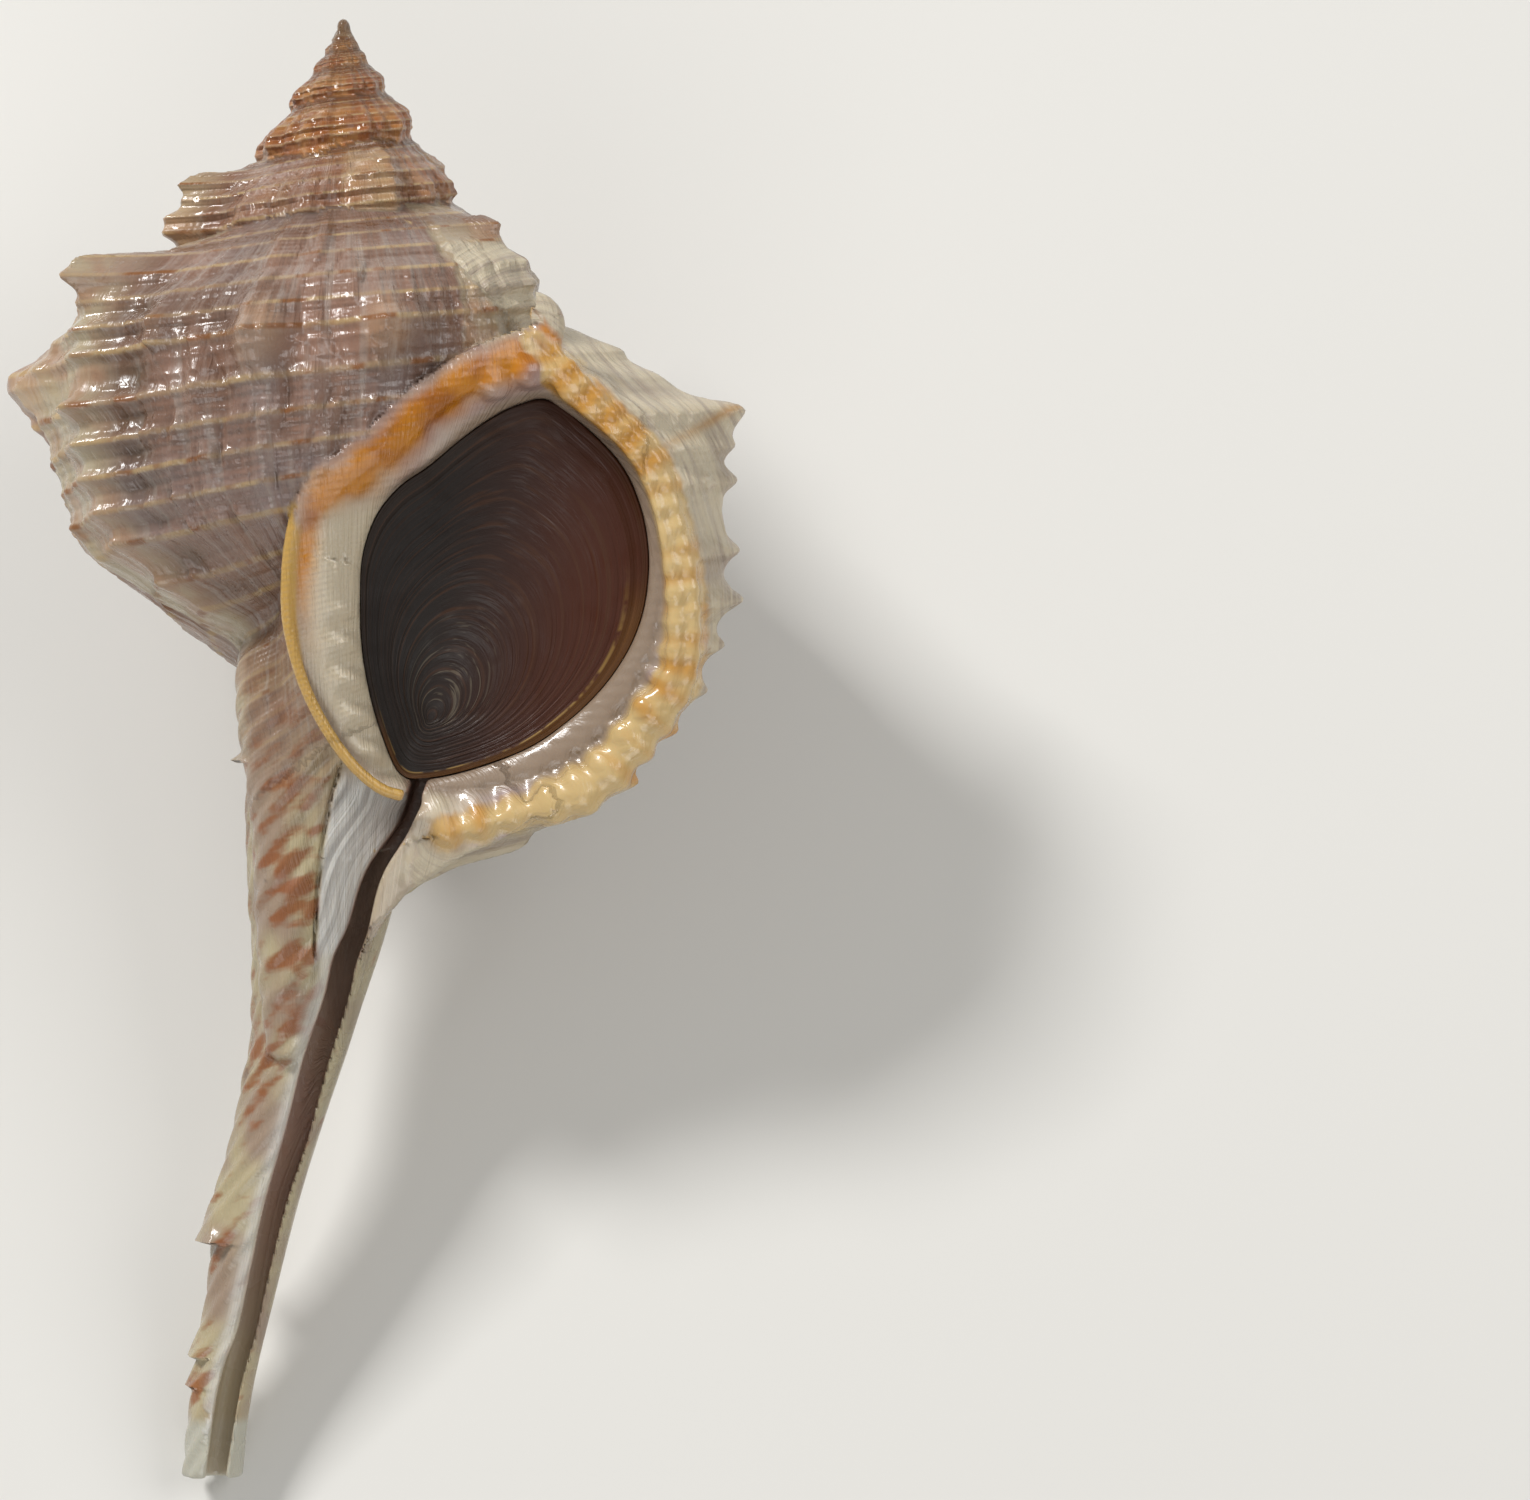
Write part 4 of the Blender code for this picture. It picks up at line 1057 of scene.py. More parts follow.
        out[Zone.SHELF] = ramp(-at.x, -9.0, -6.0) * ramp(at.y, 26.0, 31.0) * out[Zone.CALLUS]
        out[Zone.RIM] = ramp(part["rim"] - part["all"], -0.35, -0.1)
        out[Zone.WALL] = ramp(at.opening, -1.3, -0.2) * ramp(-lift, 0.5, 1.3) * (at.x > 4.0)
        return out

    def enamel(self, at: Probe) -> Array:
        """1 on the front of the last turn, where glaze covers it."""
        return ramp(at.z - at.front, -2.6, -1.6) * ramp(at.area, -0.4, 1.0)

    def canal_masks(self, at: Probe, part: dict[str, Array],
                    out: dict[Zone, Array]) -> dict[Zone, Array]:
        """Masks of the canal, its slit and its silky wall.

        Args:
            at: the vertices.
            part: the fields of the shell's parts there.
            out: the masks of the mouth.

        Returns:
            One value a vertex for each of these zones.
        """
        canal, read = self.canal, self.mouth.map.read
        slit_across = read(self.slit_line[0], at.x, at.y)
        seam_across = read(self.seam_line[0], at.x, at.y)
        solid = ramp(np.maximum(part["canal"], part["stub"]) - part["body"], -0.6, 0.6)
        right = ramp(slit_across, 0.0, 0.8) * ramp(at.z, -1.0, 0.5)
        amount = 0.9 - 0.65 * ramp(at.y, 62.0, 68.0) + 0.7 * bump(at.y - 82.4, 1.6)
        lane = bump(at.x - canal.stub_x(at.y) - 0.3, 2.1) * (1.0 - ramp(at.y, 60.0, 63.0))
        newer = bump(at.x - canal.centre(at.y) + 1.6, 1.6) * ramp(at.y, 58.0, 61.0)
        blot = amount * (1.0 - 0.8 * right) * np.maximum(lane, newer)
        hollow = ramp(part["hollow"], -0.3, 0.0) * ramp(at.front - at.z, 2.2, 3.0)
        silky = ramp(seam_across, 0.0, 0.35) * ramp(at.y, 44.5, 46.5)
        silky = silky * (1.0 - ramp(at.y, 55.5, 58.0))
        flange = bump(slit_across + 0.9, 0.5) * ramp(at.y, 54.0, 57.0)
        silk = np.maximum(silky, 0.7 * flange) * (slit_across < 0.0) * (at.z > 0.0)
        by_slit = (at.y > 44.0) & (slit_across < 0.0)
        return {
            Zone.EDGE: np.where(by_slit, slit_across, out[Zone.EDGE]),
            Zone.TWIST: canal.twist(at.x, at.y, at.z),
            Zone.CANAL: solid * ramp(at.y, 36.0, 50.0) * (1.0 - self.enamel(at) * (at.y < 48.0)),
            Zone.BLOT: blot * (1.0 - ramp(at.y, 84.0, 85.0)),
            Zone.SLIT: np.maximum(hollow, ramp(part["slit"], -0.12, 0.05)),
            Zone.SILK: silk * (1.0 - out[Zone.RIM]) * (1.0 - out[Zone.CALLUS]),
            Zone.DOWN: at.y / self.growth.length,
        }

    def masks(self, points: Array, normals: Array) -> dict[Zone, Array]:
        """Surface masks at the vertices of the mesh.

        Args:
            points: the vertices in shell axes.
            normals: the surface's directions there.

        Returns:
            One value a vertex for each zone.
        """
        at = self.probe(*points.T)
        part = self.parts(at)
        out = self.turn_masks(at, part) | self.mouth_masks(at, part, normals[:, 2])
        return out | self.canal_masks(at, part, out)


# --- meshing -----------------------------------------------------------------
CUBE = [(i & 1, (i >> 1) & 1, (i >> 2) & 1) for i in range(8)]
TETRAHEDRA = ((0, 1, 3, 7), (0, 3, 2, 7), (0, 2, 6, 7),
              (0, 6, 4, 7), (0, 4, 5, 7), (0, 5, 1, 7))
# orders of a tetrahedron's corners that keep its sense
ONE_FIRST = ((0, 1, 2, 3), (1, 0, 3, 2), (2, 0, 1, 3), (3, 0, 2, 1))
TWO_FIRST = ((0, 1, 2, 3), (0, 2, 3, 1), (0, 3, 1, 2),
             (1, 2, 0, 3), (1, 3, 2, 0), (2, 3, 0, 1))


def surface_of(values: Array, origin: Array, step: float) -> tuple[Array, Array]:
    """Closed triangle mesh on the zero level of a grid of field values.

    Each cube of the grid that the surface crosses is cut into six tetrahedra,
    so the mesh has no open and no doubled edges.

    Args:
        values: the field on the grid.
        origin: place of the grid's first point.
        step: the grid's spacing.

    Returns:
        The points and the triangles.
    """
    least = 0.06 * step
    values = np.where(np.abs(values) < least, np.where(values > 0, least, -least), values)
    shape = np.array(values.shape)
    inside = values > 0.0
    corners = [inside[dx:shape[0] - 1 + dx, dy:shape[1] - 1 + dy, dz:shape[2] - 1 + dz]
               for dx, dy, dz in CUBE]
    filled = sum(c.astype(np.int8) for c in corners)
    cells = np.argwhere((filled > 0) & (filled < 8))
    strides = np.array([shape[1] * shape[2], shape[2], 1])
    flat = values.reshape(-1)
    index = [(cells + np.array(c)) @ strides for c in CUBE]
    ends = []

    def keep(pick: Array, order: tuple[int, ...], *triangles: Points) -> None:
        """Keep triangles, each corner as the two grid points it lies between."""
        at = [point[k][pick] for k in order]
        for triangle in triangles:
            ends.append(np.stack([np.stack((at[i], at[j]), axis=1) for i, j in triangle], axis=1))

    for tetrahedron in TETRAHEDRA:
        point = [index[i] for i in tetrahedron]
        held = [flat[p] > 0.0 for p in point]
        total = sum(h.astype(np.int8) for h in held)
        for order in ONE_FIRST:
            first = held[order[0]]
            keep((total == 1) & first, order, ((0, 1), (0, 2), (0, 3)))
            keep((total == 3) & ~first, order, ((0, 2), (0, 1), (0, 3)))
        for order in TWO_FIRST:
            both = (total == 2) & held[order[0]] & held[order[1]]
            keep(both, order, ((0, 2), (0, 3), (1, 3)), ((0, 2), (1, 3), (1, 2)))
    ends = np.sort(np.concatenate(ends), axis=2)
    keys = ends[..., 0].astype(np.int64) * flat.size + ends[..., 1]
    unique, triangles = np.unique(keys, return_inverse=True)
    first, second = unique // flat.size, unique % flat.size
    share = flat[first] / (flat[first] - flat[second])
    places = [np.stack(np.unravel_index(i, values.shape), axis=1) for i in (first, second)]
    points = places[0] + (places[1] - places[0]) * share[:, None]
    return points * step + origin, triangles.reshape(-1, 3)


def largest_body(points: Array, triangles: Array) -> tuple[Array, Array]:
    """Drop the loose crumbs that the grid may leave beside the shell.

    Args:
        points: the mesh's points.
        triangles: its triangles.

    Returns:
        The points and triangles of the body with the most triangles.
    """
    label = np.arange(len(points))
    while True:
        least = label[triangles].min(axis=1)
        if (label[triangles] == least[:, None]).all():
            break
        for corner in range(3):
            np.minimum.at(label, label[triangles[:, corner]], least)
        while (label[label] != label).any():
            label = label[label]
    names, counts = np.unique(label[triangles[:, 0]], return_counts=True)
    keep = triangles[label[triangles[:, 0]] == names[counts.argmax()]]
    used, renumbered = np.unique(keep, return_inverse=True)
    return points[used], renumbered.reshape(-1, 3)


# --- placing -----------------------------------------------------------------
@dataclass
class RestPose:
    """How the shell lies on its back: turned, then set where the solids lie."""

    roll: float = 2.85           # degrees, as the pitch
    pitch: float = 15.55
    recess: float = 1.5          # how deep the lid lies behind the front
    recess_slope: float = 0.05
    lid_thick: float = 1.1
    recess_from: float = 1.8     # place where the lid lies just the recess deep
    nucleus: tuple[float, float] = (5.5, 42.2)
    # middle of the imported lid's box from the apex, after the turn, mm
    lid_middle: tuple[float, float, float] = (10.758, -35.392, -2.924)

    @cached_property
    def turn(self) -> Matrix:
        """Rotation from upright shell axes to the world."""
        pitch = Matrix.Rotation(math.radians(self.pitch), 4, "X")
        return pitch @ Matrix.Rotation(math.radians(self.roll), 4, "Y")

    def lid_edge(self, mouth: Mouth, steps: int, gap: float) -> Array:
        """Edge of the lid, the throat's outline set in by the gap.

        Args:
            mouth: the mouth with its throat.
            steps: pieces between two of the outline's points.
            gap: how far the edge is set in.

        Returns:
            The edge as x, y rows.
        """
        edge = curve_through(list(mouth.throat) + list(mouth.throat[:3]), steps=steps)
        edge = edge[steps:steps * len(mouth.throat) + steps]
        ahead = np.roll(edge, -1, axis=0) - np.roll(edge, 1, axis=0)
        inward = np.stack([-ahead[:, 1], ahead[:, 0]], axis=1)
        inward /= np.linalg.norm(inward, axis=1)[:, None]
        if ((edge.mean(axis=0) - edge) * inward).sum() < 0.0:
            inward = -inward
        return edge + gap * inward

    def lid_front(self, mouth: Mouth, x: Array, y: Array) -> Array:
        """Level of the lid's face at its edge."""
        return mouth.front(x, y) - self.recess - self.recess_slope * (x - self.recess_from)

    def matrix(self) -> Matrix:
        """World matrix of upright shell axes in metres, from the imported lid's box."""
        low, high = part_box("operculum")
        shift = [(low[i] + high[i]) / 2 - self.lid_middle[i] * MM for i in range(3)]
        return Matrix.Translation(Vector(shift)) @ self.turn


def put(name: str, data: bpy.types.ID) -> Object:
    """New object in the scene, with the given mesh, light or camera."""
    made = bpy.data.objects.new(name, data)
    bpy.context.collection.objects.link(made)
    return made


def build_mesh(name: str, points: Array, triangles: Array) -> Object:
    """Object from points in shell axes, upright and in metres.

    Args:
        name: name of the piece.
        points: the points, depth down the axis.
        triangles: the triangles, facing out.

    Returns:
        The object, not yet laid down.
    """
    upright = points * np.array(UPRIGHT)
    mesh = bpy.data.meshes.new(name)
    mesh.vertices.add(len(upright))
    mesh.vertices.foreach_set("co", upright.astype(np.float32).ravel())
    mesh.loops.add(triangles.size)
    mesh.loops.foreach_set("vertex_index", triangles.astype(np.int32).ravel())
    mesh.polygons.add(len(triangles))
    mesh.polygons.foreach_set("loop_start", np.arange(0, triangles.size, 3, dtype=np.int32))
    mesh.update(calc_edges=True)
    return put(name, mesh)


def points_of(mesh: Mesh) -> Array:
    """Vertices of an upright mesh, back in shell axes."""
    flat = np.empty(3 * len(mesh.vertices), np.float32)
    mesh.vertices.foreach_get("co", flat)
    return flat.reshape(-1, 3).astype(float) / np.array(UPRIGHT)


def triangles_of(mesh: Mesh) -> Array:
    """Triangles of a mesh that has no other faces."""
    flat = np.empty(len(mesh.loops), np.int32)
    mesh.loops.foreach_get("vertex_index", flat)
    return flat.reshape(-1, 3).astype(np.int64)


def thin_out(made: Object, triangles: int) -> None:
    """Keep only so many triangles, most of them where the surface bends.

    Args:
        made: the object whose mesh is thinned.
        triangles: how many are kept.
    """
    before = len(made.data.polygons)
    if before <= triangles:
        return
    modifier = made.modifiers.new("fewer faces", "DECIMATE")
    modifier.ratio = triangles / before
    graph = bpy.context.evaluated_depsgraph_get()
    mesh = bpy.data.meshes.new_from_object(made.evaluated_get(graph))
    made.modifiers.clear()
    old = made.data
    made.data = mesh
    bpy.data.meshes.remove(old)
    mesh.name = made.name


# --- finishes ----------------------------------------------------------------
def linear(code: str) -> tuple[float, float, float, float]:
    """Linear colour of an sRGB hex code such as "a0b1c2"."""
    parts = [int(code[i:i + 2], 16) / 255.0 for i in (0, 2, 4)]
    return (*[c / 12.92 if c <= 0.04045 else ((c + 0.055) / 1.055) ** 2.4 for c in parts], 1.0)


Socket = bpy.types.NodeSocket
Tree = bpy.types.NodeTree
Value = Socket | float
Zones = dict[Zone, Socket]


def add(tree: Tree, kind: str, inputs: dict[int | str, object] | None = None,
        out: int | str = 0, stops: Iterable[tuple[float, float]] = (),
        **settings: object) -> Socket | None:
    """Add a node with its settings and links.

    Args:
        tree: the material's node tree.
        kind: the node's type.
        inputs: for each input, a socket to link or a value to set.
        out: which output to give back.
        stops: for a colour ramp, position and grey of each stop.
        **settings: the node's own properties.

    Returns:
        The chosen output socket, or None if the node has no output.
    """
    made = tree.nodes.new(kind)
    for name, value in settings.items():
        setattr(made, name, value)
    for key, value in (inputs or {}).items():
        if isinstance(value, bpy.types.NodeSocket):
            tree.links.new(value, made.inputs[key])
        else:
            made.inputs[key].default_value = value
    for number, (position, grey) in enumerate(stops):
        elements = made.color_ramp.elements
        stop = elements[number] if number < 2 else elements.new(position)
        stop.position = position
        stop.color = (grey, grey, grey, 1.0)
    return made.outputs[out] if len(made.outputs) else None


class Paint:
    """A material in the making, with the steps that a finish is put together from."""

    relief_depth: float = 0.00015    # metres
    relief_strength: float = 0.6

    def __init__(self, made: Object, name: str) -> None:
        """Start the material of a piece, under the given name."""
        material = bpy.data.materials.new(name)
        material.use_nodes = True
        made.data.materials.append(material)
        self.tree = material.node_tree
        self.tree.nodes.clear()
        self.place = add(self.tree, "ShaderNodeTexCoord", out="Object")

    def mask(self, name: str) -> Socket:
        """Value that the mesh carries under the given name."""
        return add(self.tree, "ShaderNodeAttribute", out="Fac", attribute_name=name)

    def pair(self, x: Socket, y: Socket) -> Socket:
        """Place made of two values."""
        return add(self.tree, "ShaderNodeCombineXYZ", {"X": x, "Y": y})

    def calc(self, operation: str, *values: Value) -> Socket:
        """Result of a math node on one to three values."""
        return add(self.tree, "ShaderNodeMath", dict(enumerate(values)), operation=operation)

    def times(self, a: Value, b: Value) -> Socket:
        """Product of two values."""
        return self.calc("MULTIPLY", a, b)

    def plus(self, base: Value, value: Socket, factor: Value) -> Socket:
        """The base with the value times the factor added."""
        return self.calc("MULTIPLY_ADD", value, factor, base)

    def mix(self, factor: Value, below: Socket | str, above: Socket | str) -> Socket:
        """Lay one colour over another; each is a socket or a hex code."""
        sides = [linear(c) if isinstance(c, str) else c for c in (below, above)]
        return add(self.tree, "ShaderNodeMix", {"Factor": factor, 6: sides[0], 7: sides[1]},
                   out=2, data_type="RGBA")

    def greys(self, value: Socket, *stops: tuple[float, float]) -> Socket:
        """Grey read off a row of stops, each a position and a grey."""
        return add(self.tree, "ShaderNodeValToRGB", {"Fac": value}, stops=stops)

    def slope(self, value: Socket, low: float, high: float, start: float = 0.0,
              end: float = 1.0) -> Socket:
        """Smooth change from `start` at `low` to `end` at `high`."""
        return add(self.tree, "ShaderNodeMapRange", {
            "Value": value, "From Min": low, "From Max": high, "To Min": start, "To Max": end},
            interpolation_type="SMOOTHSTEP")

    def noise(self, place: Socket, scale: float | tuple[float, ...], detail: float) -> Socket:
        """Soft noise with so many cells per unit of place, one number or one an axis."""
        factors = scale if isinstance(scale, tuple) else (scale,) * 3
        scaled = add(self.tree, "ShaderNodeVectorMath", {0: place, 1: factors},
                     operation="MULTIPLY")
        return add(self.tree, "ShaderNodeTexNoise",
                   {"Vector": scaled, "Scale": 1.0, "Detail": detail})

    def spots(self, place: Socket, scale: float | tuple[float, ...], low: float, high: float,
              detail: float = 2.0) -> Socket:
        """Soft noise, drawn out so that `low` gives 0 and `high` gives 1."""
        return self.slope(self.noise(place, scale, detail), low, high)

    def close(self, height: Socket, inputs: dict[str, object]) -> None:
        """End the material with its fine relief and its shader.

        Args:
            height: socket of the relief's height.
            inputs: values and sockets of the shader.
        """
        normal = add(self.tree, "ShaderNodeBump", {
            "Height": height, "Distance": self.relief_depth, "Strength": self.relief_strength})
        shader = add(self.tree, "ShaderNodeBsdfPrincipled", {"Normal": normal, **inputs})
        add(self.tree, "ShaderNodeOutputMaterial", {"Surface": shader})


@dataclass(frozen=True)
class ShellAragonite:
    """Grown aragonite with a thin glossy skin, never polished by hand.

    Grey-mauve and tan under a wet gloss, cream on the varices, with thin
    orange-brown lines on the cords; the mouth is thick orange and cream
    enamel, the canal cream with brown streaks, the newest wall silky white.
    """

    name: str = "shell_aragonite"
    ior: float = 1.53            # aragonite fibres in conchiolin
    roughness: float = 0.26
    uneven: float = 0.08         # how far the roughness wanders either way
    satin: float = 0.16          # added on the silky parts

    def dress(self, made: Object) -> None:
        """Give the finish to a piece that carries the surface masks.

        Args:
            made: the piece.
        """
        paint = Paint(made, self.name)
        zone = {z: paint.mask(z.value) for z in Zone}
        spun = paint.pair(zone[Zone.GROWTH], zone[Zone.CORD])
        silky = paint.calc("MAXIMUM", zone[Zone.LIP], zone[Zone.SILK])
        colour = self.whorls(paint, zone, spun)
        colour = self.cords(paint, zone, colour)
        colour = self.canal(paint, zone, colour)
        colour = self.mouth(paint, zone, colour)
        rough = paint.slope(paint.spots(paint.place, 420.0, 0.3, 0.7), 0.0, 1.0,
                            self.roughness - self.uneven, self.roughness + self.uneven)
        paint.close(self.relief(paint, zone, spun, silky), {
            "Base Color": colour, "Roughness": paint.plus(rough, silky, self.satin),
            "IOR": self.ior, "Subsurface Weight": 0.12, "Subsurface Scale": 0.0012,
            "Subsurface Radius": (1.0, 0.7, 0.45),
            "Coat Weight": paint.slope(silky, 0.0, 1.0, 0.45, 0.1), "Coat Roughness": 0.08})

    def whorls(self, paint: Paint, zone: Zones, spun: Socket) -> Socket:
        """Colour of the turns between the cord lines.

        Args:
            paint: the material in the making.
            zone: socket of each surface mask.
            spun: socket of growth angle and cord number.

        Returns:
            Socket of the colour.
        """
        mix, times, spots, place = paint.mix, paint.times, paint.spots, paint.place
        colour = mix(spots(place, 170.0, 0.36, 0.64, 3.0), "745a4c", "906f5e")
        # grey-lilac patches: partly the shell's own lilac tone, partly painted sheen for its many
        # whitish highlights
        colour = mix(times(spots(place, 110.0, 0.46, 0.64), 0.45), colour, "8c8283")
        colour = mix(times(paint.slope(zone[Zone.DOWN], 0.34, 0.5), 0.55), colour, "9a7146")
        # growth streaks run down the turn, across the cords
        streak = times(spots(spun, (0.13, 0.10, 1.0), 0.46, 0.66, 1.0), 0.35)
        colour = mix(streak, colour, "6e4c38")
        # painted highlights: pale lilac-grey lines along the growth streaks
        line = times(spots(spun, (0.34, 0.2, 1.0), 0.5, 0.7), 0.45)
        colour = mix(line, colour, "a3968c")
        # painted shade: the hollows behind each varix are darkened olive-brown
        colour = mix(times(zone[Zone.PIT], 0.7), colour, "4e4029")
        # varices are cream with a warm wash
        cream = mix(spots(place, 300.0, 0.4, 0.62), "b5a789", "a88668")
        # the same lines run on over the varices in paler cream: growth lines with painted highlight
        cream = mix(times(line, 0.7), cream, "c0b69c")
        colour = mix(times(zone[Zone.VARIX], 0.85), colour, cream)
        # nodule tops: partly their own pale tone, partly a painted highlight
        colour = mix(times(zone[Zone.KNOB], 0.4), colour, "c29c78")
        # the early turns are warmer, up to a pale tip
        warm = paint.greys(zone[Zone.AGE], (0.14, 0.0), (0.30, 0.85), (1.0, 0.9))
        grown = mix(spots(place, 620.0, 0.42, 0.6), "9c5a24", "b67c40")
        colour = mix(warm, colour, grown)
        colour = mix(paint.slope(zone[Zone.AGE], 0.96, 1.0), colour, "c4a880")
        # painted shade: darker brown along the suture crease
        return mix(times(zone[Zone.SEAM], 0.8), colour, "6a4630")

    def cords(self, paint: Paint, zone: Zones, colour: Socket) -> Socket:
        """Draw the thin line on each cord: tan, with orange-brown dashes.

        Args:
            paint: the material in the making.
            zone: socket of each surface mask.
            colour: the colour so far.

        Returns:
            Socket of the colour.
        """
        crest = paint.calc("PINGPONG", zone[Zone.CORD], 0.5)
        row = paint.pair(zone[Zone.GROWTH], paint.calc("ROUND", zone[Zone.CORD]))
        dash = paint.spots(row, (0.13, 7.7, 1.0), 0.5, 0.62, 1.0)
        strength = paint.plus(0.25, paint.spots(row, (0.05, 3.1, 1.0), 0.4, 0.65), 0.45)
        strength = paint.calc("MAXIMUM", strength, paint.times(dash, 0.8))
        pale = paint.times(paint.slope(crest, 0.05, 0.24, 1.0, 0.0), 0.22)
        colour = paint.mix(pale, colour, "ab9683")
        line = paint.times(paint.slope(crest, 0.03, 0.12, 1.0, 0.0), strength)
        return paint.mix(line, colour, paint.mix(dash, "b79a6a", "84501f"))

    def canal(self, paint: Paint, zone: Zones, colour: Socket) -> Socket:
        """Lay the canal's cream and its slanting brown streaks.

        Args:
            paint: the material in the making.
            zone: socket of each surface mask.
            colour: the colour so far.

        Returns:
            Socket of the colour.
        """
        bark = paint.mix(paint.spots(paint.place, 210.0, 0.4, 0.62), "b4a684", "9c8672")
        lane = paint.pair(zone[Zone.TWIST], zone[Zone.DOWN])
        wave = paint.calc("SINE", paint.times(zone[Zone.TWIST], 2.0 * math.pi))
        worn = paint.plus(paint.noise(lane, (0.8, 60.0, 1.0), 3.0), wave, 0.07)
        worn = paint.plus(worn, zone[Zone.BLOT], 0.26)
        bark = paint.mix(paint.times(paint.slope(worn, 0.62, 0.82), 0.85), bark, "90501e")
        bark = paint.mix(paint.slope(zone[Zone.DOWN], 0.955, 0.965), bark, "b8b5a5")
        return paint.mix(zone[Zone.CANAL], colour, bark)

    def mouth(self, paint: Paint, zone: Zones, colour: Socket) -> Socket:
        """Lay the enamel of the mouth over the outside's colour.

        Args:
            paint: the material in the making.
            zone: socket of each surface mask.
            colour: the colour so far.

        Returns:
            Socket of the colour.
        """
        mix, times, spots, place = paint.mix, paint.times, paint.spots, paint.place
        edge = paint.pair(zone[Zone.EDGE], zone[Zone.CORD])
        lip = mix(spots(edge, (2.2, 0.35, 1.0), 0.45, 0.7, 3.0), "c3b69d", "a59684")
        mauve = times(spots(edge, (0.15, 0.45, 1.0), 0.52, 0.64), 0.55)
        lip = mix(mauve, lip, "8f7d72")
        lip = mix(times(zone[Zone.STRIPE], 0.8), lip, "a8762c")
        tone = paint.plus(spots(place, 150.0, 0.3, 0.7, 1.0), zone[Zone.BEAD_TONE], 0.5)
        layers = (
            (Zone.LIP, lip),
            (Zone.SILK, mix(spots(edge, (3.0, 0.2, 1.0), 0.4, 0.65), "cfccc5", "b0aca6")),
            (Zone.CALLUS, mix(spots(place, 240.0, 0.4, 0.62), "bcada2", "a48e8a")),
            (Zone.SHELF, "c5b79e"),
            (Zone.ORANGE, mix(spots(place, 330.0, 0.4, 0.65), "c07a10", "a05c0a")),
            (Zone.RIM, "c29a50"),
            (Zone.BEAD, mix(paint.slope(tone, 0.5, 1.5), "cdb07a", "c08a3a")),
            (Zone.WALL, "94816f"),
            (Zone.SLIT, mix(paint.slope(zone[Zone.DOWN], 0.8, 0.95), "a98878", "b3a48a")),
        )
        for mask, layer in layers:
            colour = mix(zone[mask], colour, layer)
        return colour

    def relief(self, paint: Paint, zone: Zones, spun: Socket, silky: Socket) -> Socket:
        """Height of growth lines, threads and pores too fine for the mesh.

        Args:
            paint: the material in the making.
            zone: socket of each surface mask.
            spun: socket of growth angle and cord number.
            silky: socket of the mask of the silky parts.

        Returns:
            Socket of the height.
        """
        height = paint.spots(spun, (1.3, 0.5, 1.0), 0.0, 1.0, 3.0)
        thread = paint.calc("SINE", paint.times(zone[Zone.CORD], 25.0))
        height = paint.plus(height, thread, 0.10)
        edge = paint.pair(zone[Zone.EDGE], zone[Zone.DOWN])
        fibres = paint.times(paint.spots(edge, (4.5, 3.0, 1.0), 0.0, 1.0), silky)
        height = paint.plus(height, fibres, 1.2)
        # the early turns are beaded: cords crossed by riblets
        round_turn = paint.calc("COSINE", paint.times(zone[Zone.CORD], 2.0 * math.pi))
        riblet = paint.calc("COSINE", paint.times(zone[Zone.GROWTH], 0.55))
        early = paint.times(paint.slope(zone[Zone.AGE], 0.08, 0.3), 1.7)
        height = paint.plus(height, paint.plus(round_turn, riblet, 0.4), early)
        return paint.plus(height, paint.spots(paint.place, 1500.0, 0.0, 1.0, 3.0), 0.3)


@dataclass(frozen=True)
class OperculumHorn:
    """Brown conchiolin, laid down in thin growth rings; satin, with silky lines painted on as sheen.
    """

    name: str = "operculum_horn"
    ior: float = 1.54
    roughness: float = 0.46
    uneven: float = 0.1          # how far the roughness wanders either way

    def dress(self, made: Object) -> None:
        """Give the finish to the lid, which carries ring and side masks.

        Args:
            made: the lid.
        """
        paint = Paint(made, self.name)
        mix, times, spots, slope = paint.mix, paint.times, paint.spots, paint.slope
        ring, side, low_side, share = map(paint.mask, ("ring_mm", "side", "low_side", "share"))
        spun = paint.pair(ring, side)
        lines = spots(spun, (3.6, 2.4, 1.0), 0.0, 1.0, 4.0)
        colour = mix(side, "1f1814", "48200e")
        colour = mix(times(slope(lines, 0.5, 0.75), 0.5), colour, "4e2f1a")
        # painted sheen: pale silky lines round the nucleus stand in for the lid's silky highlights
        silky = times(spots(spun, (5.5, 9.0, 1.0), 0.56, 0.68), 0.45)
        colour = mix(times(silky, slope(share, 0.15, 0.45, 1.0, 0.0)), colour, "7d7260")
        worn = times(slope(share, 0.90, 0.93), slope(low_side, 0.0, 0.6, 0.05, 0.9))
        colour = mix(worn, colour, "643f18")
        gold = paint.greys(share, (0.885, 0.0), (0.90, 1.0), (0.905, 1.0), (0.92, 0.0))
        ragged = times(spots(paint.place, 900.0, 0.4, 0.55), low_side)
        colour = mix(times(gold, ragged), colour, "8f7038")
        rough = slope(spots(paint.place, 700.0, 0.3, 0.7), 0.0, 1.0,
                      self.roughness - self.uneven, self.roughness + self.uneven)
        paint.close(lines, {"Base Color": colour, "IOR": self.ior, "Roughness": rough,
                            "Specular IOR Level": 0.3})


# --- pieces ------------------------------------------------------------------
def store(mesh: Mesh, name: str, values: Array) -> None:
    """Keep one value a vertex on the mesh under the given name."""
    layer = mesh.attributes.new(name, "FLOAT", "POINT")
    layer.data.foreach_set("value", np.ascontiguousarray(values, dtype=np.float32))


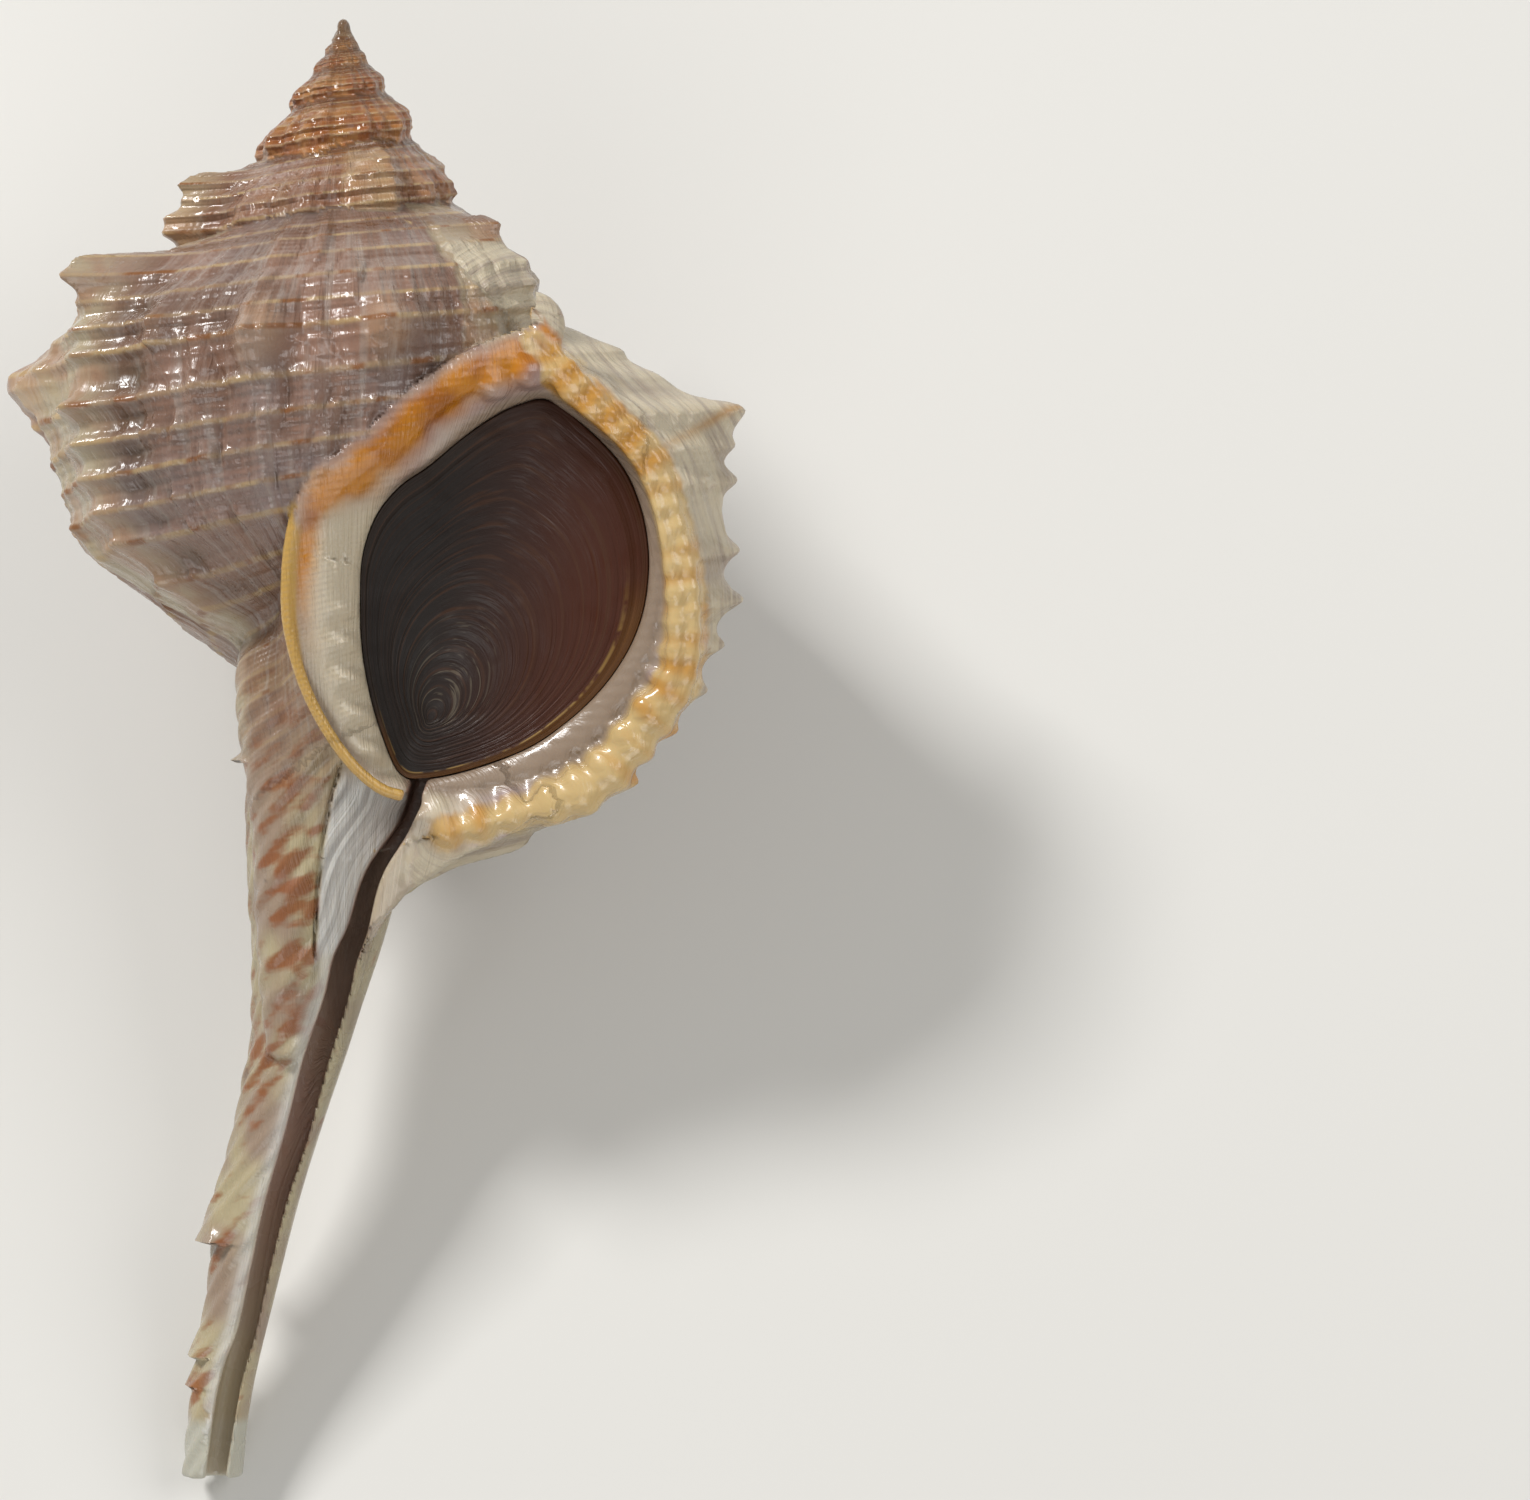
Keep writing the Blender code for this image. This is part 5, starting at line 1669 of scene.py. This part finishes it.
@dataclass
class ShellPiece:
    """The dressed shell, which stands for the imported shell."""

    shell: Shell
    pose: RestPose
    finish: ShellAragonite = ShellAragonite()
    most_moved: float = 0.1      # how far a vertex is moved onto the field's surface

    def build(self) -> Object:
        """Make the fine mesh, its masks and its finish.

        Returns:
            The piece, laid down.
        """
        shell = self.shell
        values = shell.volume()
        points, triangles = surface_of(values, np.array(shell.low), shell.grid)
        LOG.info("shell grid surface: %d triangles", len(triangles))
        dense = build_mesh("dense", points, triangles[:, ::-1])
        thin_out(dense, shell.triangles)
        points, triangles = largest_body(points_of(dense.data), triangles_of(dense.data))
        bpy.data.objects.remove(dense)
        made = build_mesh("shell_fine", points, triangles)
        normals = shell.gradient(points)
        error = np.clip(shell.sample(points), -self.most_moved, self.most_moved)
        points = points + normals * error[:, None]
        normals = shell.gradient(points)
        upright = (points * np.array(UPRIGHT)).astype(np.float32)
        made.data.vertices.foreach_set("co", upright.ravel())
        for zone, value in shell.masks(points, normals).items():
            store(made.data, zone.value, value)
        made.data.shade_smooth()
        made.data.transform(self.pose.matrix())
        turned = (normals * np.sign(UPRIGHT)) @ np.array(self.pose.turn.to_3x3()).T
        made.data.normals_split_custom_set_from_vertices(turned)
        made.data.update()
        self.finish.dress(made)
        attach(made, "root")
        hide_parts("shell")
        return made


@dataclass
class OperculumPiece:
    """The horny lid: a shallow dish with growth rings round a low nucleus."""

    mouth: Mouth
    pose: RestPose
    finish: OperculumHorn = OperculumHorn()
    rings: int = 120
    edge_steps: int = 9
    gap: float = 0.05            # between the lid and the wall of the mouth
    ring_pitch: float = 0.42     # spacing of the raised growth lines, mm
    length: float = 14.0         # what the whole way to the edge counts as, mm
    middle_y: float = 35.0       # about the lid's middle, from the apex
    waves: int = 4               # waves round the lid that the inner rings still show
    samples: int = 256
    dish: float = 0.35           # how far the nucleus lies below the edge
    sunk: float = 0.06           # how far the whole face lies below its level
    thin_from: float = 0.14      # the lid thins from this share before the edge

    def ring(self, edge: Array, share: float) -> Array:
        """Growth ring: round near the nucleus, with the lid's own outline at its edge.

        Args:
            edge: the lid's edge as x, y rows.
            share: 0 at the nucleus, 1 at the edge.

        Returns:
            The ring's points, in step with the edge's.
        """
        nucleus = np.array(self.pose.nucleus)
        offset = edge - nucleus
        reach = np.log(np.linalg.norm(offset, axis=1))
        angle = np.unwrap(np.arctan2(offset[:, 1], offset[:, 0]))
        end = angle[0] + np.sign(angle[-1] - angle[0]) * 2 * math.pi
        even = np.linspace(angle[0], end, self.samples, endpoint=False)
        turned, levels = np.append(angle, end), np.append(reach, reach[0])
        order = np.argsort(turned)
        waves = np.fft.rfft(np.interp(even, turned[order], levels[order]))
        waves[self.waves:] = 0.0
        smooth = np.fft.irfft(waves, self.samples)
        order = np.argsort(even)
        smooth = np.interp(angle, even[order], smooth[order], period=2 * math.pi)
        blend = ramp(np.array(share), 0.35, 1.0)
        radius = share * np.exp(smooth * (1.0 - blend) + reach * blend)
        return nucleus + radius[:, None] * offset / np.linalg.norm(offset, axis=1)[:, None]

    def face_level(self, x: Array, y: Array, share: Array, reach: Array) -> Array:
        """Level of the lid's face.

        Args:
            x: side of the outer lip, millimetres.
            y: depth below the apex.
            share: 0 at the nucleus, 1 at the edge.
            reach: distance from the nucleus, millimetres.

        Returns:
            The level along z.
        """
        level = self.pose.lid_front(self.mouth, x, y) - self.dish * (1.0 - share) - self.sunk
        level = level + 0.035 * sway(share * self.length / (2.0 * self.ring_pitch), 1.0)
        level = level + 0.03 * bump(share - 0.915, 0.012) - 0.06 * ramp(share, 0.92, 0.95)
        return level + 0.05 * sway(reach / 6.0, 2.0)

    def layer(self, edge: Array, share: float, side: int) -> Array:
        """Points of one ring, on the face (side 0) or on the back (side 1)."""
        ring = self.ring(edge, share)
        reach = np.linalg.norm(ring - np.array(self.pose.nucleus), axis=1)
        level = self.face_level(ring[:, 0], ring[:, 1], np.full(len(edge), share), reach)
        full = np.clip((1.0 - share) / self.thin_from, 0.0, 1.0)
        thick = self.pose.lid_thick * (0.6 + 0.4 * full)
        return np.column_stack([ring, level - side * thick])

    def faces(self, count: int) -> Array:
        """Triangles between the rings, round the two middles and round the edge.

        Args:
            count: how many points a ring has.

        Returns:
            The triangles of the closed lid.
        """
        total = self.rings * count
        faces = []
        i = np.arange(count)
        j = (i + 1) % count
        for side in (0, 1):
            for layer in range(self.rings - 1):
                base = side * total + layer * count
                quad = [base + i, base + j, base + count + j, base + count + i]
                quad = quad[::-1] if side else quad
                faces += [np.column_stack(quad[:3]), np.column_stack([quad[0], quad[2], quad[3]])]
            last = side * total + (self.rings - 1) * count
            fan = [last + i, last + j, np.full(count, 2 * total + side)]
            faces.append(np.column_stack(fan[::-1] if side else fan))
        faces.append(np.column_stack([j, i, total + i]))
        faces.append(np.column_stack([j, total + i, total + j]))
        return np.vstack(faces)

    def build(self) -> Object:
        """Make the lid's mesh, its masks and its finish.

        Returns:
            The lid, laid down.
        """
        edge = self.pose.lid_edge(self.mouth, self.edge_steps, self.gap)
        shares = np.linspace(1.0, 0.0, self.rings, endpoint=False)
        rows = [self.layer(edge, share, side) for side in (0, 1) for share in shares]
        x, y = self.pose.nucleus
        middle = self.face_level(np.array([x]), np.array([y]), np.zeros(1), np.zeros(1))[0]
        rows.append(np.array([[x, y, middle], [x, y, middle - self.pose.lid_thick]]))
        points = np.vstack(rows)
        faces = self.faces(len(edge))
        corner = points[faces[:len(edge)]]
        facing = np.cross(corner[:, 1] - corner[:, 0], corner[:, 2] - corner[:, 0])[:, 2].sum()
        made = build_mesh("operculum_fine", points, faces[:, ::-1] if facing > 0 else faces)
        share = np.append(np.tile(np.repeat(shares, len(edge)), 2), np.zeros(2))
        below = points[:, 1] - self.middle_y
        mesh = made.data
        store(mesh, "share", share)
        store(mesh, "ring_mm", share * self.length)
        store(mesh, "side", ramp(points[:, 0] + 0.15 * below, 5.0, 16.0))
        low = 0.5 * points[:, 0] + points[:, 1] - self.middle_y
        store(mesh, "low_side", ramp(low, 6.0, 14.0))
        mesh.shade_smooth()
        mesh.transform(self.pose.matrix())
        self.finish.dress(made)
        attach(made, "root")
        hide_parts("operculum")
        return made


# --- studio ------------------------------------------------------------------
@dataclass
class Studio:
    """Pale floor, soft light and the camera that looks at the mouth."""

    pose: RestPose
    middle: tuple[float, float, float] = (25.4, 44.0, 0.0)
    across: float = 92.2         # width of the view at the shell, mm
    lens: float = 150.0
    sensor: float = 36.0
    clip: tuple[float, float] = (0.01, 20.0)
    # name, place from the shell's middle and width in metres, power in watts
    lights: tuple[tuple[str, tuple[float, float, float], float, float], ...] = (
        ("key", (-0.38, 0.34, 0.46), 0.16, 3.8), ("fill", (0.42, 0.10, 0.45), 0.40, 1.4),
        ("low", (0.0, -0.50, 0.30), 0.35, 0.8))
    floor_half: float = 1.5      # metres
    floor_gap: float = 0.0003    # below the level that the pieces rest on, metres
    sky: float = 0.30            # strength of the light from all round

    def build(self, place: Matrix) -> None:
        """Make the floor, the lights and the camera.

        Args:
            place: matrix from upright shell axes in metres to the world.
        """
        scene = bpy.context.scene
        x, y, z = self.middle
        target = place @ Vector((x * MM, -y * MM, z * MM))
        scene.camera = self.camera(target)
        self.floor()
        for name, offset, width, power in self.lights:
            self.light(name, target, Vector(offset), width, power)
        world = bpy.data.worlds.new("studio")
        world.use_nodes = True
        back = world.node_tree.nodes["Background"]
        back.inputs["Color"].default_value = linear("f2f2f0")
        back.inputs["Strength"].default_value = self.sky
        scene.world = world
        scene.view_settings.view_transform = "Standard"

    def camera(self, target: Vector) -> Object:
        """Camera that looks straight at the mouth's side, at the given place.

        Args:
            target: the place it looks at.

        Returns:
            The camera.
        """
        turn = self.pose.turn.to_3x3()
        toward = (turn @ Vector((0.0, 0.0, 1.0))).normalized()
        up = (turn @ Vector((0.0, 1.0, 0.0))).normalized()
        right = up.cross(toward).normalized()
        distance = self.across * MM * self.lens / self.sensor
        data = bpy.data.cameras.new("camera")
        data.lens, data.sensor_width = self.lens, self.sensor
        data.clip_start, data.clip_end = self.clip
        made = put("camera", data)
        axes = Matrix((right, up, toward)).transposed()
        made.matrix_world = Matrix.Translation(target + distance * toward) @ axes.to_4x4()
        return made

    def floor(self) -> None:
        """Wide plain floor of matte card."""
        mesh = bpy.data.meshes.new("floor")
        signs = ((-1, -1), (1, -1), (1, 1), (-1, 1))
        corners = [(self.floor_half * x, self.floor_half * y, 0.0) for x, y in signs]
        mesh.from_pydata(corners, [], [(0, 1, 2, 3)])
        made = put("floor", mesh)
        made.location.z = -self.floor_gap
        material = bpy.data.materials.new("floor_card")
        material.use_nodes = True
        shader = material.node_tree.nodes["Principled BSDF"]
        shader.inputs["Base Color"].default_value = linear("dcdad5")
        shader.inputs["Roughness"].default_value = 0.85
        mesh.materials.append(material)

    def light(self, name: str, target: Vector, offset: Vector, width: float,
              power: float) -> None:
        """Square soft light that looks at the shell.

        Args:
            name: the light's name.
            target: the place it looks at.
            offset: where it stands from there.
            width: its side, metres.
            power: its power, watts.
        """
        data = bpy.data.lights.new(name, "AREA")
        data.size = width
        data.energy = power
        made = put(name, data)
        made.location = target + offset
        made.rotation_euler = (-offset).to_track_quat("-Z", "Y").to_euler()


def main() -> None:
    """Build the shell, the lid and the studio, and report each piece."""
    logging.basicConfig(level=logging.INFO, format="%(message)s")
    shell = Shell(quick=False)
    pose = RestPose()
    pieces = (ShellPiece(shell, pose), OperculumPiece(shell.mouth, pose))
    for piece in pieces:
        made = piece.build()
        LOG.info("%s: %d faces, %s mm", made.name, len(made.data.polygons),
                 [round(1000 * d, 1) for d in made.dimensions])
    Studio(pose).build(pose.matrix())


if __name__ == "__main__":
    main()
